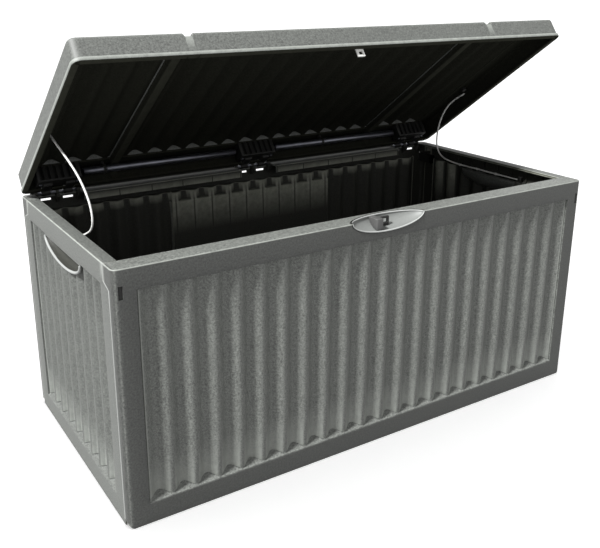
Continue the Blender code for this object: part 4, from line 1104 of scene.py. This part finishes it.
def make_lid():
    low = lid_edge(-LID_HALF_X, 1)
    high = list(reversed(lid_edge(LID_HALF_X, -1)))
    across = [place_in + (0.0, "edge") for place_in in low]
    across += [(x, under, LID_HEIGHT, LID_HEIGHT - WALL, rise, kind)
               for x, under, rise, kind in lid_columns()]
    across += [place_in + (0.0, "edge") for place_in in high]

    front_edge = LID_FRONT + LID_BORDER
    rear_edge = LID_REAR - LID_BORDER + 0.004
    along = [place_in + (0.0,) for place_in in lid_edge(LID_FRONT, 1)]
    along += [(front_edge + dy, front_edge + dy - WALL * 0.6, LID_HEIGHT, LID_HEIGHT - WALL, share)
              for dy, share in STEP]
    for k in range(1, 8):
        y = front_edge + (rear_edge - front_edge) * k / 8
        along.append((y, y, LID_HEIGHT, LID_HEIGHT - WALL, 1.0))
    along += [(rear_edge - dy, rear_edge - dy + WALL * 0.6, LID_HEIGHT, LID_HEIGHT - WALL, share)
              for dy, share in reversed(STEP)]
    along += [place_in + (0.0,) for place_in in reversed(lid_edge(LID_REAR, -1))]

    outer, inner = [], []
    for x_out, x_in, x_top, x_under, rise, kind in across:
        face, back = [], []
        for y_out, y_in, y_top, y_under, share in along:
            top, under = min(x_top, y_top), min(x_under, y_under)
            if kind == "channel":
                top = min(top, LID_HEIGHT + rise)
                under = min(under, LID_HEIGHT - WALL + rise)
            else:
                top += rise * share
                under += rise * share
            face.append(round_corner(x_out, y_out, LID_LOW + top, LID_CORNER))
            back.append(round_corner(x_in, y_in, LID_LOW + under, LID_CORNER))
        outer.append(face)
        inner.append(back)
    # The lid's underside takes near-black resin: painted shade.
    lid = closed_shell("lid_shell", outer, inner, ("outside", "under_lid"))
    paint_edge_highlights(lid, whole=True)
    notches = []
    for x in STATIONS:
        for centre in (x - STATION_HALF / 2, x + STATION_HALF / 2):
            notches.append(((centre - ARM_HALF, LID_REAR - LID_FOOT - 0.002, LID_LOW - WALL),
                            (centre + ARM_HALF, LID_REAR + WALL, LID_LOW + LID_FOOT)))
    combine(lid, boxes("notches", notches), "DIFFERENCE")
    smooth(lid)
    lid.data.transform(LID_POSE)
    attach(lid, "lid")
    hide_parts("lid")


# ---- CAD pieces that keep their shape ----

def dress_node(name, look, edge_highlight_look=None, width=0.0006):
    """Round a CAD piece's edges with modifiers and give it its look, with a paler look on the rounded edges
    as a painted highlight when edge_highlight_look is given.
    """
    obj = frame["nodes"][name]
    obj.data.materials.clear()
    obj.data.materials.append(LOOKS[look])
    weld = obj.modifiers.new("weld", "WELD")
    weld.merge_threshold = 0.00002
    if edge_highlight_look:
        obj.data.materials.append(LOOKS[edge_highlight_look])
        bevel = obj.modifiers.new("round", "BEVEL")
        bevel.width = width
        bevel.segments = 2
        bevel.limit_method = "ANGLE"
        bevel.angle_limit = SHARP
        # The bevels take the paler edge look: a painted highlight.
        bevel.material = 1
    obj.data.shade_smooth()
    obj.data.set_sharp_from_angle(angle=SHARP)


def dress_nodes():
    for name in sorted(frame["nodes"]):
        if name.startswith(("hinge_pin", "hinge_screw", "lid_stiffener")):
            dress_node(name, "steel")
        elif name.startswith(("hinge_block", "stiffener_clamp")):
            dress_node(name, "black", "black_edge_highlight")
        elif name.startswith(("cord_peg", "cord_stud", "latch_staple")):
            dress_node(name, "black", "black_edge_highlight", 0.0005)
        elif name == "latch_post":
            dress_node(name, "grey", "grey_edge_highlight")
        elif name == "latch_tongue":
            dress_node(name, "pale", "pale")
        # The box's floor is near-black: painted shade.
        elif name == "floor_panel":
            dress_node(name, "inside")


make_camera()
make_cords()
floor_object = make_stage()
make_front()
make_rear()
make_side("left")
make_side("right")
make_lid()
dress_nodes()
make_key(floor_object)
bpy.context.view_layer.update()
